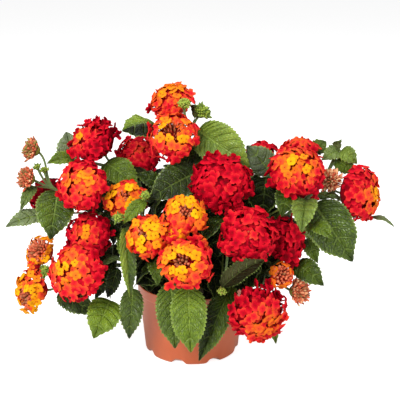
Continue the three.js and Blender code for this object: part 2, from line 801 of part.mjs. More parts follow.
// A cubic arc that leaves the substrate upright; the straight part below it stands in its hole.
function shootCurve({ foot: [x, y], lean, tip }) {
  const rise = THREE.MathUtils.lerp(STEM.straightTo, tip[2], STEM.upright);
  return new THREE.CubicBezierCurve3(vec(x, y, STEM.straightTo), vec(x, y, rise), vecOf(lean), vecOf(tip));
}

// A stalk from the shoot to a head. It ends square under the head's seat and does not touch it.
function stalkSolid(curve, { at, centre, axis, radius }) {
  const start = curve.getPoint(at);
  const end = along(centre, axis, -(HEAD.flatness * HEAD.seatDepth * radius + CLEARANCE));
  const pull = STALK.bend * start.distanceTo(end);
  const arc = new THREE.CubicBezierCurve3(
    start,
    along(start, curve.getTangent(at), pull),
    along(end, axis, -pull),
    end,
  );
  return squareStem(arc.getPoints(STALK.steps), () => STALK.radius, axis);
}

function leafyStem(shoot) {
  const curve = shootCurve(shoot);
  const [x, y] = shoot.foot;
  const spine = [vec(x, y, HOLE.floor + CLEARANCE), ...curve.getPoints(STEM.steps)];
  const taper = (s) => THREE.MathUtils.lerp(STEM.footRadius, STEM.tipRadius, s);
  const leaves = shoot.leaves.map((leaf) =>
    leafSolid(curve.getPoint(leaf.at), leaf.base, leaf.tip, leaf),
  );
  const heads = [...shoot.blooms, ...(shoot.budHeads ?? [])];
  const stalks = heads.map((head) => stalkSolid(curve, head));
  const greens = shoot.greens.flatMap((green) => {
    const sunk = { ...green, radius: GREEN_BUDS.stalkEnd * green.radius };
    return [stalkSolid(curve, sunk), budHeadSolid(green)];
  });
  return fuse([squareStem(spine, taper), ...stalks, ...greens, ...leaves]);
}

// ---- Materials and the finished plant ----

const finish = (color, roughness) => new THREE.MeshStandardMaterial({ color, roughness, metalness: 0 });
const materials = {
  pot: finish(0xb5623f, 0.55),
  soil: finish(0x2b211a, 1),
  leaf: finish(0x3f6b2a, 0.6),
  petal: finish(0xd5301f, 0.7),
  bud: finish(0xa85a4c, 0.75),
};

const group = new THREE.Group();
const add = (name, solid, material) => group.add(meshOf(name, solid, material));
add("pot", potSolid(), materials.pot);
add("soil", soilSolid(shoots.map((shoot) => shoot.foot)), materials.soil);
for (const shoot of shoots) {
  add("leafy_stem_" + shoot.name, leafyStem(shoot), materials.leaf);
  for (const head of shoot.blooms) add(head.name, bloomSolid(head), materials.petal);
  for (const head of shoot.budHeads ?? []) add(head.name, budHeadSolid(head), materials.bud);
}

export default group;
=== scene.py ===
from dataclasses import dataclass, field

import bpy
import numpy as np
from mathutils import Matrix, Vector


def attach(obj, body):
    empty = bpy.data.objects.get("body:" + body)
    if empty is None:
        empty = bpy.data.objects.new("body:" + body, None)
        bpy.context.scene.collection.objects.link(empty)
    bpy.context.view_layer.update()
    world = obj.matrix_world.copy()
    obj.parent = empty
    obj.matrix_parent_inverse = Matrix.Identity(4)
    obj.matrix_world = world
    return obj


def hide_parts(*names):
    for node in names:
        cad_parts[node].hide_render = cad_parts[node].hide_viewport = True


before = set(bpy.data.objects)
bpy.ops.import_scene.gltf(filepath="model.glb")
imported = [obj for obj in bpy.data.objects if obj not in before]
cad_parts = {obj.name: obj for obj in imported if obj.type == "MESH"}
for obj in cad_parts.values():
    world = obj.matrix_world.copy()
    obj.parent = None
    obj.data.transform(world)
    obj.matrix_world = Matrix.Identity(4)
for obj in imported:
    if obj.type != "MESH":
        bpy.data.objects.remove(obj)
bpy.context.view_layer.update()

# A potted lantana: the thin nursery pot, the peat in it, leafy shoots and domed heads of small florets.
# The tables and the formulas are in millimetres, with +Z up and -Y to the front, as the solids are;
# build_piece turns them into metres. Angles in the tables and HEAD_CAP are in degrees, the others in radians.
MM = 0.001
CREASE = np.radians(70)
rng = np.random.default_rng(8)


# ---- Driving dimensions, as in the solids ----

POT_HEIGHT, RIM_RADIUS, RIM_BAND, RIM_STEP, SHOULDER, LIP_ROUND = 70, 52.5, 10, 1.2, 0.8, 0.6
FOOT_RADIUS, FOOT_ROUND, WALL, BASE, NOTCH_INNER = 45.5, 2, 1.4, 1.6, 36
NOTCHES, NOTCH_LIFT, NOTCH_TURN = 8, 4, np.radians(-16.5)
DRAIN_RADIUS, DRAIN_RING = 3, 31
CLEARANCE = 0.3
SOIL_EDGE, SOIL_CROWN = 58.5, 3.5
STEM_FOOT, STEM_TIP, STEM_STRAIGHT, STEM_UPRIGHT, HOLE_FLOOR = 2.4, 1.4, 66, 0.35, 47
STALK_RADIUS, STALK_BEND = 1.1, 0.4
LEAF_WIDEST, LEAF_FULLNESS, PETIOLE = 0.38, 0.42, 0.85
HEAD_FLATNESS, HEAD_CAP, SEAT_DEPTH = 0.74, 94, 0.5

# ---- What only this finish has ----

BLADE_THICKNESS = 0.5
TOOTH_DEPTH = 1.5
# The faces across a blade, the places of the points on a tooth as shares of it, and the tooth's length.
FINE_BLADE, PLAIN_BLADE = (12, (0.0, 0.45, 0.85), 3.5), (6, (0.0, 0.7), 5)
VEIN_SPACING, VEIN_LAG, QUILT_DEPTH = 6.8, 0.26, 1.2
WAVES, WAVE_HEIGHT = 2.4, 0.09  # of the margin: along the blade, and as a share of its half width
JOINT_SWELLING, JOINT_LENGTH = 0.35, 0.012  # of a stem at a leaf pair, the length as a share of its own
CRUMBS = 420
POT_CORNERS, PEAT_CORNERS, STEM_CORNERS, FLORET_CORNERS, BUD_CORNERS = 192, 96, 12, 16, 8
LOW_SHARE, LOW_DROP = 0.4, 2.8  # of a head's florets, those that sit lower, and by how much
BUD_PITCH, CLUB_PITCH, GREEN_PITCH = 3.8, 2.7, 2.6  # in an opening, in a bud head and on a green tip
SMALL_OPENING, WIDE_OPENING = 12, 40  # past the one the inside shows, past the other the buds stand high
DOME_SHARE = 0.86  # of a round cap's area, that a flattened head has
FLORET_SHARE = 0.87  # of its pitch squared, that a floret takes up
SEAT_SCATTER = 0.14  # of its pitch, that a floret is out of its place
LIMB_INSET = 1.2  # from the head's surface down to the middle of a limb
SIZE_BY_AGE = ((0.35, 0.6, 0.85), (0.66, 0.72, 0.8))  # age, and a floret's reach as a share of the pitch
LOW_REDDENING = ((0.3, 0.4, 0.7), (0.18, 0.16, 0.05))  # age, and how much further along the age colours, redder and darker, the low florets go
CLUB, BRACT = (0.4, 0.5, 0.95, 1, 0.75, 0.12), (0.3, 0.85, 1, 0.7, 0.25, 0.05)  # widths from foot to tip


@dataclass
class Leaf:
    at: float
    base: tuple
    tip: tuple
    width: float
    roll: float = 0  # about the midrib
    arch: float = 5  # how far its middle stands above a straight blade
    fold: float = 18  # how far each half turns up from the midrib
    tone: float = 0.45  # 0 is the darkest green, near black where a leaf is painted shade, 1 a fresh yellow-green
    grey: float = 0  # the share of pale grey: the hairy bloom, and on shiny leaves a painted sheen
    half_shade: float = 0  # how much darker its left half is than its right one: painted shade, as on a folded leaf whose one half turns from the light


@dataclass
class Head:
    name: str
    at: float
    centre: tuple
    axis: tuple
    radius: float
    ages: tuple  # (degrees from the eye, age): 0.35 is yellow, 0.6 orange, 0.8 red and 1 crimson
    eye: tuple = None  # the way of the youngest florets, its axis where none is given
    opening: float = 0  # degrees from the eye that closed buds fill
    pitch: float = 7.4  # from floret to floret
    ruffle: float = 0.25  # how unevenly the florets face
    bud: float = 2.4  # the width of the closed buds
    core: float = 0.64  # the share of its size that the shaded inside has where an opening shows it
    node: str = ""  # the bloom that it belongs to, where that has another name


@dataclass
class Shoot:
    name: str
    foot: tuple
    lean: tuple
    tip: tuple
    leaves: list
    blooms: list
    bud_heads: list = field(default_factory=list)
    greens: list = field(default_factory=list)


RED, CRIMSON = ((0, 0.7), (35, 0.78), (90, 0.86)), ((0, 0.83), (90, 0.92))
YOUNG = ((0, 0.33), (42, 0.37), (60, 0.58), (95, 0.7))
GREEN = ((0, 0.12),)
TURNING = ((0, 0.36), (18, 0.42), (34, 0.6), (60, 0.72), (95, 0.84))

# Leaves with a tone under 0.1 are fillers coloured near black: painted shade in the dark gaps of the crown.
SHOOTS = [
    Shoot("top", (-3, 7), (-8, 12, 170), (-2, 4, 206), leaves=[
        Leaf(0.8, (-34, 4, 223), (-63, -14, 220), 35, roll=-30, fold=-22, tone=0.42, half_shade=0.65),
        Leaf(0.86, (6, 6, 216), (54, -21, 187), 42, roll=57, arch=6, tone=0.7, grey=0.12, half_shade=-0.12),
        Leaf(0.72, (10, 8, 186), (42, 24, 172), 30),
        Leaf(0.75, (14, 4, 199), (-21, 0, 182), 24, roll=-60, tone=0.3),
        Leaf(0.7, (-12, 16, 176), (-18, 48, 158), 28),
        Leaf(0.55, (4, 26, 164), (8, 56, 168), 28),
        Leaf(1, (3, 0, 229), (-1, -8, 243), 10, tone=0.4),
    ], blooms=[
        Head("top", 0.97, (-18, 14, 241), (-0.3, -0.3, 0.9), 22, eye=(-0.25, -0.45, 0.87), pitch=6.5,
             ruffle=0.4, ages=((0, 0.35), (22, 0.42), (50, 0.56), (80, 0.64), (98, 0.9))),
        Head("top_front", 0.9, (-16, -22, 217), (0, -0.78, 0.62), 23.5, opening=23, pitch=7.2, bud=1.5,
             ages=((22, 0.33), (33, 0.38), (44, 0.58), (70, 0.67), (95, 0.77))),
    ], greens=[
        Head("", 1, (-6, -12, 245), (0.1, -0.4, 0.9), 6.5, ages=((0, 0.15),), opening=180, ruffle=0.05),
        Head("", 1, (10, 3, 234), (0.6, -0.3, 0.7), 8, ages=GREEN, opening=35),
    ]),
    Shoot("centre", (4, -7), (2, -12, 140), (12, -24, 172), leaves=[
        Leaf(0.96, (5, -22, 183), (-38, -48, 165.5), 37, roll=-50, tone=0.2, grey=0.05),
        Leaf(0.8, (38, -42, 150), (11, -72, 132), 30, roll=10, tone=0.3),
        Leaf(0.7, (22, 0, 140), (34, 30, 134), 26),
        Leaf(0.9, (36, -26, 154), (56, -24, 147), 18, roll=-85, tone=0.02),
        Leaf(0.6, (-26, -18, 168), (-51, -20, 181), 17, roll=-60, tone=0.25),
    ], blooms=[
        Head("centre", 0.95, (27, -44, 179), (0.1, -0.75, 0.65), 28.5, pitch=7.9, ruffle=0.35,
             ages=((0, 0.79), (40, 0.84), (90, 0.9))),
        Head("middle_upper", 0.7, (-5, -81, 161), (0.1, -0.7, 0.7), 20, opening=20,
             ages=((20, 0.34), (46, 0.38), (64, 0.55), (95, 0.66))),
    ]),
    Shoot("left_top", (-11, 9), (-32, 10, 146), (-72, 8, 180), leaves=[
        Leaf(0.98, (-112, 17, 184), (-119, 22, 211), 30, roll=-45, tone=0.5, grey=0.75),
        Leaf(0.94, (-109, -2, 189), (-132, -20, 191), 18, roll=-39, tone=0.6),
        Leaf(0.9, (-80, -3, 187), (-49, -23, 165), 31, roll=32, tone=0.55),
        Leaf(0.75, (-62, 30, 160), (-92, 48, 158), 30),
        Leaf(0.6, (-44, 34, 142), (-56, 62, 154), 26),
    ], blooms=[
        Head("left_top", 1, (-89, -5, 207), (-0.5, -0.45, 0.75), 24, eye=(-0.72, -0.5, 0.5), pitch=6.9,
             ruffle=0.45, ages=((0, 0.36), (10, 0.42), (22, 0.62), (45, 0.8), (90, 0.94))),
        Head("left_inner", 0.85, (-51, 24, 186), (0, -0.75, 0.65), 22, pitch=7.6,
             ages=((0, 0.38), (9, 0.42), (14, 0.76), (40, 0.78), (90, 0.86))),
    ]),
    Shoot("left_far", (-19, 3), (-66, 10, 140), (-124, -3, 160), leaves=[
        Leaf(0.97, (-146, -12, 167), (-156, -34, 150), 13, roll=-27, arch=7, tone=0.6, grey=0.3),
        Leaf(0.9, (-116, 22, 138), (-130, 52, 128), 26),
        Leaf(0.72, (-94, 22, 130), (-116, 48, 124), 30),
    ], blooms=[
        Head("left_upper", 0.8, (-96, -48, 178), (-0.35, -0.75, 0.55), 24, eye=(-0.2, -0.85, 0.5),
             ages=((0, 0.42), (24, 0.47), (38, 0.6), (52, 0.73), (90, 0.83))),
        Head("left_behind", 0.98, (-140, 13, 151), (-0.8, 0.3, 0.5), 18, ages=((0, 0.93), (90, 1))),
    ], bud_heads=[
        Head("far_upper", 1, (-148, -5, 201), (-0.8, -0.35, 0.4), 11.5, ages=((0, 0.32), (94, 0.62))),
        Head("far_lower", 1, (-151, -22, 178), (-0.75, -0.45, 0.4), 11.5, ages=((0, 0.4), (94, 0.74))),
    ], greens=[
        Head("", 1, (-137, -6, 181), (-0.1, -0.2, 0.9), 4, ages=((0, 0.17),), opening=30),
        Head("", 1, (-143, -9, 185), (-0.3, -0.2, 0.9), 4, ages=GREEN, opening=20),
    ]),
    Shoot("left_middle", (-14, -6), (-48, -14, 130), (-84, -30, 146), leaves=[
        Leaf(1, (-122, -29, 167), (-126, -58, 131), 38, roll=-16, tone=0.38, half_shade=0.08),
        Leaf(0.97, (-138, -22, 141), (-169, -41, 137), 20, roll=-39, tone=0.7, grey=0.8),
        Leaf(0.7, (-50, -40, 126), (-62, -66, 114), 24),
    ], blooms=[
        Head("left_middle", 0.96, (-92, -50, 131), (-0.3, -0.85, 0.4), 22.5, eye=(-0.22, -0.8, 0.55),
             ages=((0, 0.36), (10, 0.42), (18, 0.6), (32, 0.7), (46, 0.82), (80, 0.95))),
        Head("left_centre", 0.85, (-59, -42, 163), (-0.1, -0.75, 0.65), 20, ages=YOUNG, opening=15),
    ], greens=[
        Head("", 0.85, (-64, -64, 153), (-0.2, -0.6, 0.7), 5, ages=GREEN, opening=35),
    ]),
    Shoot("left_low", (-18, -11), (-52, -26, 108), (-100, -48, 94), leaves=[
        Leaf(0.95, (-119, -54, 80), (-88, -74, 64), 28, roll=42, tone=0.25),
        Leaf(0.8, (-74, -60, 73), (-87, -88, 48), 34, roll=-29, tone=0.68),
        Leaf(0.7, (-60, -46, 104), (-82, -58, 104), 17, tone=0.5, grey=0.3),
        Leaf(0.7, (-70, -18, 100), (-96, -6, 96), 28),
        Leaf(0.35, (-31, -30, 95), (-51, -44, 82), 30, roll=-50, tone=0.03),
        Leaf(0.3, (-39, -26, 97), (-39, -38, 72), 28, tone=0.02),
        Leaf(0.3, (-27, -30, 77), (-44, -48, 92), 24, roll=-50, tone=0.06),
        Leaf(0.7, (-67, -50, 101), (-77, -54, 73), 15, roll=-70, tone=0.15),
        Leaf(0.8, (-70, -24, 154), (-71, -34, 118), 24, roll=12, tone=0.15),
        Leaf(0.8, (-72, -40, 102), (-88, -56, 72), 17, roll=-40, tone=0.22),
    ], blooms=[
        Head("left_lower", 0.95, (-100, -80, 108), (-0.35, -0.8, 0.45), 26, eye=(-0.45, -0.75, 0.5),
             pitch=7.6, ages=((0, 0.34), (24, 0.37), (34, 0.56), (56, 0.69), (90, 0.82))),
        Head("far_left_gap", 1, (-145, -36, 97), (-0.7, -0.6, 0.3), 9, eye=(-0.9, -0.3, 0), pitch=6.5,
             node="far_left_lower", ages=((0, 0.4), (50, 0.55), (90, 0.85))),
        Head("far_left_upper", 1, (-140, -30, 109), (-0.6, -0.5, 0.6), 16, eye=(-0.45, -0.65, 0.6),
             opening=55, pitch=6.5, ages=((0, 0.36), (70, 0.4), (100, 0.62))),
        Head("far_left_lower", 1, (-146, -42, 76), (-0.85, -0.45, 0.25), 22, eye=(-0.6, -0.78, -0.1),
             opening=32, pitch=7.2, ruffle=0.4, core=0.45,
             ages=((0, 0.33), (62, 0.37), (80, 0.52), (100, 0.78), (115, 0.95))),
    ], greens=[
        Head("", 1, (-133, -49, 97), (-0.5, -0.6, 0.6), 6, ages=GREEN, opening=35),
    ]),
    Shoot("front_left", (-8, -16), (-18, -36, 125), (-44, -58, 142), leaves=[
        Leaf(1, (-40, -60, 168), (-59, -70, 150), 15, roll=-42, tone=0.7),
        Leaf(0.97, (-58, -66, 145), (-53, -91, 88), 21, roll=4, arch=6, fold=45, tone=0.6, grey=0.1,
             half_shade=0.5),
        Leaf(0.6, (-53, -58, 84), (-56, -78, 43), 24, roll=-12, tone=0.42, grey=0.1),
        Leaf(0.55, (-34, -66, 112), (-29, -86, 98), 16, tone=0.5),
    ], blooms=[
        Head("middle_gap", 0.95, (-20, -86, 138), (0, -0.85, 0.5), 11, pitch=7, node="middle_left",
             ages=((0, 0.44), (90, 0.62))),
        Head("upper_gap", 0.95, (-12, -90, 149), (0, -0.85, 0.5), 11, pitch=7, node="middle_upper",
             ages=((0, 0.35), (45, 0.38), (90, 0.6))),
        Head("middle_left", 0.95, (-36, -87, 144.5), (-0.4, -0.78, 0.5), 20.5, opening=18,
             ages=((0, 0.34), (46, 0.38), (64, 0.56), (98, 0.68))),
    ], greens=[
        Head("", 1, (-40, -62, 173), (-0.2, -0.5, 0.8), 5, ages=GREEN, opening=35),
    ]),
    Shoot("front_low", (0, -19), (-2, -40, 110), (-5, -72, 110), leaves=[
        Leaf(0.9, (-18, -80, 98), (-14, -98, 43), 33, roll=8, tone=0.47, grey=0.05),
        Leaf(0.98, (-2, -88, 98), (0, -108, 44), 35, roll=10, tone=0.66),
        Leaf(0.6, (-24, -52, 100), (-46, -62, 96), 22, tone=0.3),
    ], blooms=[
        Head("middle_lower", 1, (-4, -108, 127), (-0.1, -0.85, 0.5), 23, eye=(-0.25, -0.85, 0.45),
             opening=17, pitch=7.5, ages=((0, 0.33), (36, 0.37), (52, 0.58), (80, 0.74))),
        Head("lower_gap", 1, (8, -90, 138), (0.3, -0.8, 0.5), 9, pitch=7, node="middle_lower",
             ages=((0, 0.58), (90, 0.74))),
    ]),
    Shoot("front_right", (9, -15), (20, -34, 110), (36, -58, 122), leaves=[
        Leaf(0.7, (37, -58, 88), (7, -84, 24), 30, roll=-42, fold=30, tone=0.34, half_shade=-0.25),
        Leaf(0.85, (27, -95, 100), (62, -118, 134), 22, roll=-59, tone=0.03, half_shade=0.3),
        Leaf(0.8, (56, -44, 110), (80, -28, 98), 26),
        Leaf(0.5, (13, -60, 110), (21, -66, 76), 30, tone=0.04),
        Leaf(0.5, (33, -50, 110), (41, -60, 81), 28, tone=0.08),
        Leaf(0.8, (16, -45, 152), (20, -50, 104), 24, roll=31, tone=0.06),
        Leaf(0.6, (61, -50, 106), (50, -56, 74), 40, tone=0.05),
    ], blooms=[
        Head("right_centre", 1, (49, -88, 145), (0.1, -0.9, 0.4), 25, opening=5, pitch=7.7, ruffle=0.35,
             ages=((0, 0.66), (14, 0.76), (90, 0.84))),
    ], greens=[
        Head("", 0.85, (27, -94, 96), (0.1, -0.7, 0.5), 4.5, ages=((0, 0.18),), opening=180, ruffle=0.05),
    ]),
    Shoot("right_middle", (15, -5), (40, -14, 130), (72, -32, 146), leaves=[
        Leaf(1, (104, -44, 163), (96, -82, 146), 27, fold=28, tone=0.66, grey=0.2),
        Leaf(0.95, (89, -36, 169), (80, -62, 154), 25, roll=-14, tone=0.36),
        Leaf(0.75, (60, -16, 112), (84, -4, 96), 28),
        Leaf(0.9, (70, -25, 150), (86, -26, 134), 20, roll=90, tone=0.15),
    ], blooms=[
        Head("right_inner", 0.95, (84, -48, 127), (0.7, -0.6, 0.4), 22.5, pitch=7.7, ruffle=0.4,
             ages=((0, 0.8), (50, 0.86), (90, 0.93))),
    ]),
    Shoot("right_top", (11, 6), (28, 12, 150), (80, -4, 172), leaves=[
        Leaf(0.95, (73, -6, 179), (51, -4, 204), 29, roll=-70, tone=0.3, grey=0.4, half_shade=0.2),
        Leaf(0.98, (118, 34, 188), (130, 36, 198), 18, roll=60, tone=0.5),
        Leaf(0.9, (69, -20, 178), (65, -38, 145), 34, tone=0.04),
        Leaf(0.8, (70, 26, 150), (100, 44, 140), 30),
        Leaf(0.6, (46, 28, 146), (60, 56, 158), 26),
    ], blooms=[
        Head("right_top", 1, (95, -38, 187), (0, -0.6, 0.8), 27, eye=(-0.02, -0.7, 0.71), pitch=7.2,
             ages=((0, 0.33), (20, 0.37), (30, 0.53), (50, 0.64), (66, 0.76), (90, 0.86))),
        Head("right_behind", 0.98, (103, 16, 194), (0.1, -0.1, 0.97), 17.5, pitch=7.2,
             ages=((0, 0.56), (35, 0.64), (90, 0.72))),
        Head("right_far_behind", 0.9, (66, 21, 190), (-0.3, 0.1, 0.95), 16, ages=RED, pitch=7.2),
    ]),
    Shoot("right_far", (19, 3), (112, 6, 114), (138, 8, 198), leaves=[
        Leaf(0.75, (112, -28, 155), (146, -56, 109), 47, roll=46, tone=0.37),
        Leaf(0.6, (109, -56, 144), (124, -80, 139), 16, roll=34, tone=0.55),
        Leaf(0.72, (162, -14, 134), (188, -28, 132), 14, tone=0.6, grey=0.6),
        Leaf(0.99, (138, 5, 196), (121, -4, 190), 17, roll=-46, tone=0.65, grey=0.35),
        Leaf(0.99, (140, 5, 197), (154, -6, 187), 18, roll=50, tone=0.75, grey=0.15),
        Leaf(0.94, (136, 6, 188), (151, 0, 176), 20, roll=58, tone=0.55),
        Leaf(0.7, (124, 20, 144), (152, 36, 132), 30),
        Leaf(1, (138, 5, 197), (139, -2, 207), 11, roll=15, tone=0.6),
        Leaf(0.8, (137, -8, 151), (124, -20, 161), 9, roll=-20, tone=0.85),
    ], blooms=[
        Head("right_far", 0.8, (153, -22, 163), (0.8, -0.5, 0.2), 26.5, eye=(0.85, -0.5, 0.1),
             ages=((0, 0.4), (20, 0.46), (34, 0.6), (52, 0.71), (90, 0.8))),
    ], bud_heads=[
        Head("right", 0.86, (128, -15, 174), (-0.2, -0.9, 0.35), 12, ages=((0, 0.9), (94, 0.95))),
    ]),
    Shoot("right_low", (17, -13), (40, -26, 102), (72, -50, 94), leaves=[
        Leaf(1, (97, -40, 101), (120, -62, 88), 25, roll=44, tone=0.36),
        Leaf(0.85, (66, -54, 56), (77, -74, 36), 16, tone=0.65),
        Leaf(0.95, (108, -30, 122), (115, -52, 106), 18, roll=29, tone=0.45),
        Leaf(0.75, (66, -20, 98), (92, -6, 86), 28),
        Leaf(0.6, (56, -40, 99), (81, -52, 90), 22, roll=-50, tone=0.12),
        Leaf(0.6, (63, -36, 105), (70, -46, 77), 32, tone=0.05),
        Leaf(0.8, (62, -45, 106), (90, -46, 90), 22, roll=-85, tone=0.08),
        Leaf(0.6, (52, -46, 93), (67, -46, 79), 18, roll=-85, tone=0.03),
    ], blooms=[
        Head("right_lower", 0.9, (59, -86, 73), (0.3, -0.9, 0.05), 26.5, eye=(0.4, -0.86, -0.3), ruffle=0.4,
             ages=((0, 0.5), (28, 0.56), (42, 0.66), (56, 0.75), (100, 0.86))),
        Head("right_low_open", 1, (80, -74, 103), (0.2, -0.8, 0.5), 13, opening=52, pitch=7.1,
             ages=((0, 0.42), (100, 0.5))),
    ], bud_heads=[
        Head("right_low", 1, (98, -60, 82), (0.85, -0.5, 0.2), 13, ages=((0, 0.62), (94, 0.8))),
    ]),
    Shoot("back_left", (-11, 18), (-36, 36, 116), (-70, 62, 118), leaves=[
        Leaf(0.9, (-86, 40, 108), (-116, 42, 92), 30),
        Leaf(0.8, (-58, 78, 96), (-70, 106, 76), 30, tone=0.6),
        Leaf(0.6, (-28, 58, 108), (-22, 88, 96), 26),
    ], blooms=[
        Head("back_left", 1, (-96, 74, 132), (-0.6, 0.6, 0.5), 21, ages=TURNING, pitch=7.7),
        Head("back_left_inner", 0.9, (-54, 88, 126), (-0.2, 0.85, 0.45), 20, ages=RED, pitch=7.7),
    ]),
    Shoot("back", (0, 20), (-2, 44, 116), (2, 66, 122), leaves=[
        Leaf(0.9, (-10, 84, 96), (-18, 106, 66), 30, tone=0.5),
        Leaf(0.8, (22, 78, 92), (32, 104, 70), 30, tone=0.7),
        Leaf(0.7, (14, 44, 116), (32, 40, 138), 24),
        Leaf(0.85, (-18, 62, 136), (-32, 76, 158), 24),
    ], blooms=[
        Head("back", 1, (-8, 96, 124), (-0.1, 0.85, 0.45), 21, ages=YOUNG, opening=18, pitch=7.7),
        Head("back_upper", 0.95, (26, 66, 138), (0.2, 0.5, 0.85), 20, ages=TURNING, pitch=7.7),
    ]),
    Shoot("back_right", (11, 18), (40, 36, 118), (78, 56, 120), leaves=[
        Leaf(0.9, (92, 36, 108), (120, 32, 92), 30, tone=0.6),
        Leaf(0.85, (72, 80, 94), (84, 106, 72), 30),
        Leaf(0.6, (44, 56, 100), (40, 84, 78), 26),
        Leaf(0.8, (76, 52, 138), (90, 68, 160), 24, tone=0.7),
    ], blooms=[
        Head("back_right", 0.95, (66, 90, 128), (0.2, 0.8, 0.5), 22, ages=CRIMSON, pitch=7.7),
        Head("back_far_right", 1, (112, 64, 136), (0.7, 0.5, 0.5), 20, ages=TURNING, pitch=7.7),
    ]),
]


HEADS = [(head.centre, head.radius) for shoot in SHOOTS for head in shoot.blooms + shoot.bud_heads]


# ---- Arrays ----


def vec(*numbers):
    return np.array(numbers, float)


def unit(v):
    return v / np.linalg.norm(v, axis=-1, keepdims=True)


def square_to(v, axis):
    """v without its part along axis, at length 1."""
    return unit(v - np.sum(v * axis, axis=-1, keepdims=True) * axis)


def around(corners):
    """The angles of the corners of a ring."""
    return np.arange(corners) * 2 * np.pi / corners


def circle(corners, across, other):
    """A ring of radius 1 about the origin, in the plane of two directions."""
    angle = around(corners)
    return np.cos(angle)[:, None] * across + np.sin(angle)[:, None] * other


def smoothstep(low, high, x):
    t = np.clip((x - low) / (high - low), 0, 1)
    return t * t * (3 - 2 * t)


def cubic(p0, p1, p2, p3, t):
    """Points and unit tangents of a cubic arc: the usual sum of its four points by (1 - t) and t."""
    t = np.asarray(t, float)[:, None]
    points = (1 - t) ** 3 * p0 + 3 * (1 - t) ** 2 * t * p1 + 3 * (1 - t) * t**2 * p2 + t**3 * p3
    slope = (1 - t) ** 2 * (p1 - p0) + 2 * (1 - t) * t * (p2 - p1) + t**2 * (p3 - p2)
    return points, unit(slope)


# ---- Pieces ----


def rings_to_skin(points, **values):
    """A closed skin on points[copy, ring, corner, xyz], whose rings run counterclockwise round the way that
    they go. Each is joined to the next by quads, and the first and last are closed by one face each. values
    have a number for each point."""
    copies, rings, corners = points.shape[:3]
    index = np.arange(copies * rings * corners).reshape(copies, rings, corners)
    turned = np.roll(index, -1, axis=2)
    quads = np.stack([index[:, :-1], turned[:, :-1], turned[:, 1:], index[:, 1:]], axis=-1).reshape(-1, 4)
    ends = np.concatenate([index[:, 0, ::-1], index[:, -1]])
    flat = {name: np.broadcast_to(value, points.shape[:3]).ravel() for name, value in values.items()}
    return points.reshape(-1, 3), quads, ends, flat


def build_piece(name, skins, material, slot, *nodes):
    """One smooth mesh of some skins, riding on the root and standing for the CAD nodes named last. Edges that
    turn by more than CREASE stay sharp."""
    starts = np.cumsum([0] + [len(points) for points, *_ in skins])
    faces = []
    for start, (_, quads, ends, _) in zip(starts, skins):
        faces += (quads + start).tolist() + (ends + start).tolist()
    mesh = bpy.data.meshes.new(name)
    mesh.from_pydata(np.concatenate([points for points, *_ in skins]) * MM, [], faces)
    mesh.polygons.foreach_set("use_smooth", np.ones(len(mesh.polygons), bool))
    for key in skins[0][3]:
        values = np.concatenate([flat[key] for *_, flat in skins])
        mesh.attributes.new(key, "FLOAT", "POINT").data.foreach_set("value", values)
    mesh.materials.append(material)
    mesh.update()
    mesh.set_sharp_from_angle(angle=CREASE)
    piece = bpy.data.objects.new(name, mesh)
    bpy.context.scene.collection.objects.link(piece)
    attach(piece, "root")
    if nodes:
        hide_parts(*nodes)
    return piece


# ---- Shader helpers ----


class Graph:
    """A node tree, with short ways to add a node and link or set its inputs."""

    def __init__(self, tree):
        self.tree = tree

    def add(self, kind, inputs=(), **settings):
        """A new node. inputs are (socket name or number, a socket to link or a value to set)."""
        node = self.tree.nodes.new(kind)
        for key, value in settings.items():
            setattr(node, key, value)
        for key, value in inputs:
            if isinstance(value, bpy.types.NodeSocket):
                self.tree.links.new(value, node.inputs[key])
            else:
                node.inputs[key].default_value = value
        return node

    def math(self, operation, *values):
        return self.add("ShaderNodeMath", list(enumerate(values)), operation=operation).outputs[0]

    def mix(self, share, low, high):
        """A colour between low and high."""
        node = self.add("ShaderNodeMix", data_type="RGBA")
        for socket, value in zip((node.inputs["Factor"], node.inputs[6], node.inputs[7]), (share, low, high)):
            if isinstance(value, bpy.types.NodeSocket):
                self.tree.links.new(value, socket)
            else:
                socket.default_value = value
        return node.outputs[2]

    def span(self, value, low, high, to_low=0.0, to_high=1.0):
        """value, mapped smoothly from the range low to high on to another one."""
        names = ("Value", "From Min", "From Max", "To Min", "To Max")
        ranges = zip(names, (value, low, high, to_low, to_high))
        return self.add("ShaderNodeMapRange", ranges, interpolation_type="SMOOTHSTEP").outputs[0]

    def ramp(self, value, stops):
        """The colour at value among stops of (place, (red, green, blue))."""
        node = self.add("ShaderNodeValToRGB", [("Fac", value)])
        elements = node.color_ramp.elements
        while len(elements) < len(stops):
            elements.new(1)
        for element, (place, colour) in zip(elements, stops):
            element.position = place
            element.color = (*colour, 1)
        return node.outputs[0]

    def place(self):
        """A point's place in its piece, in metres."""
        return self.add("ShaderNodeTexCoord").outputs["Object"]

    def noise(self, scale, detail, place):
        inputs = [("Vector", place), ("Scale", scale), ("Detail", detail)]
        return self.add("ShaderNodeTexNoise", inputs).outputs[0]

    def value(self, name):
        """A piece's own number at each point."""
        return self.add("ShaderNodeAttribute", attribute_name=name).outputs["Fac"]


def group(name, inputs, outputs, fill):
    """A shader node group, built once. fill(graph, its input sockets by name) returns its outputs by name."""
    tree = bpy.data.node_groups.new(name, "ShaderNodeTree")
    for kind, in_out in ((inputs, "INPUT"), (outputs, "OUTPUT")):
        for socket, sort in kind.items():
            tree.interface.new_socket(socket, in_out=in_out, socket_type=f"NodeSocket{sort}")
    graph = Graph(tree)
    made = fill(graph, graph.add("NodeGroupInput").outputs)
    graph.add("NodeGroupOutput", list(made.items()))
    return tree


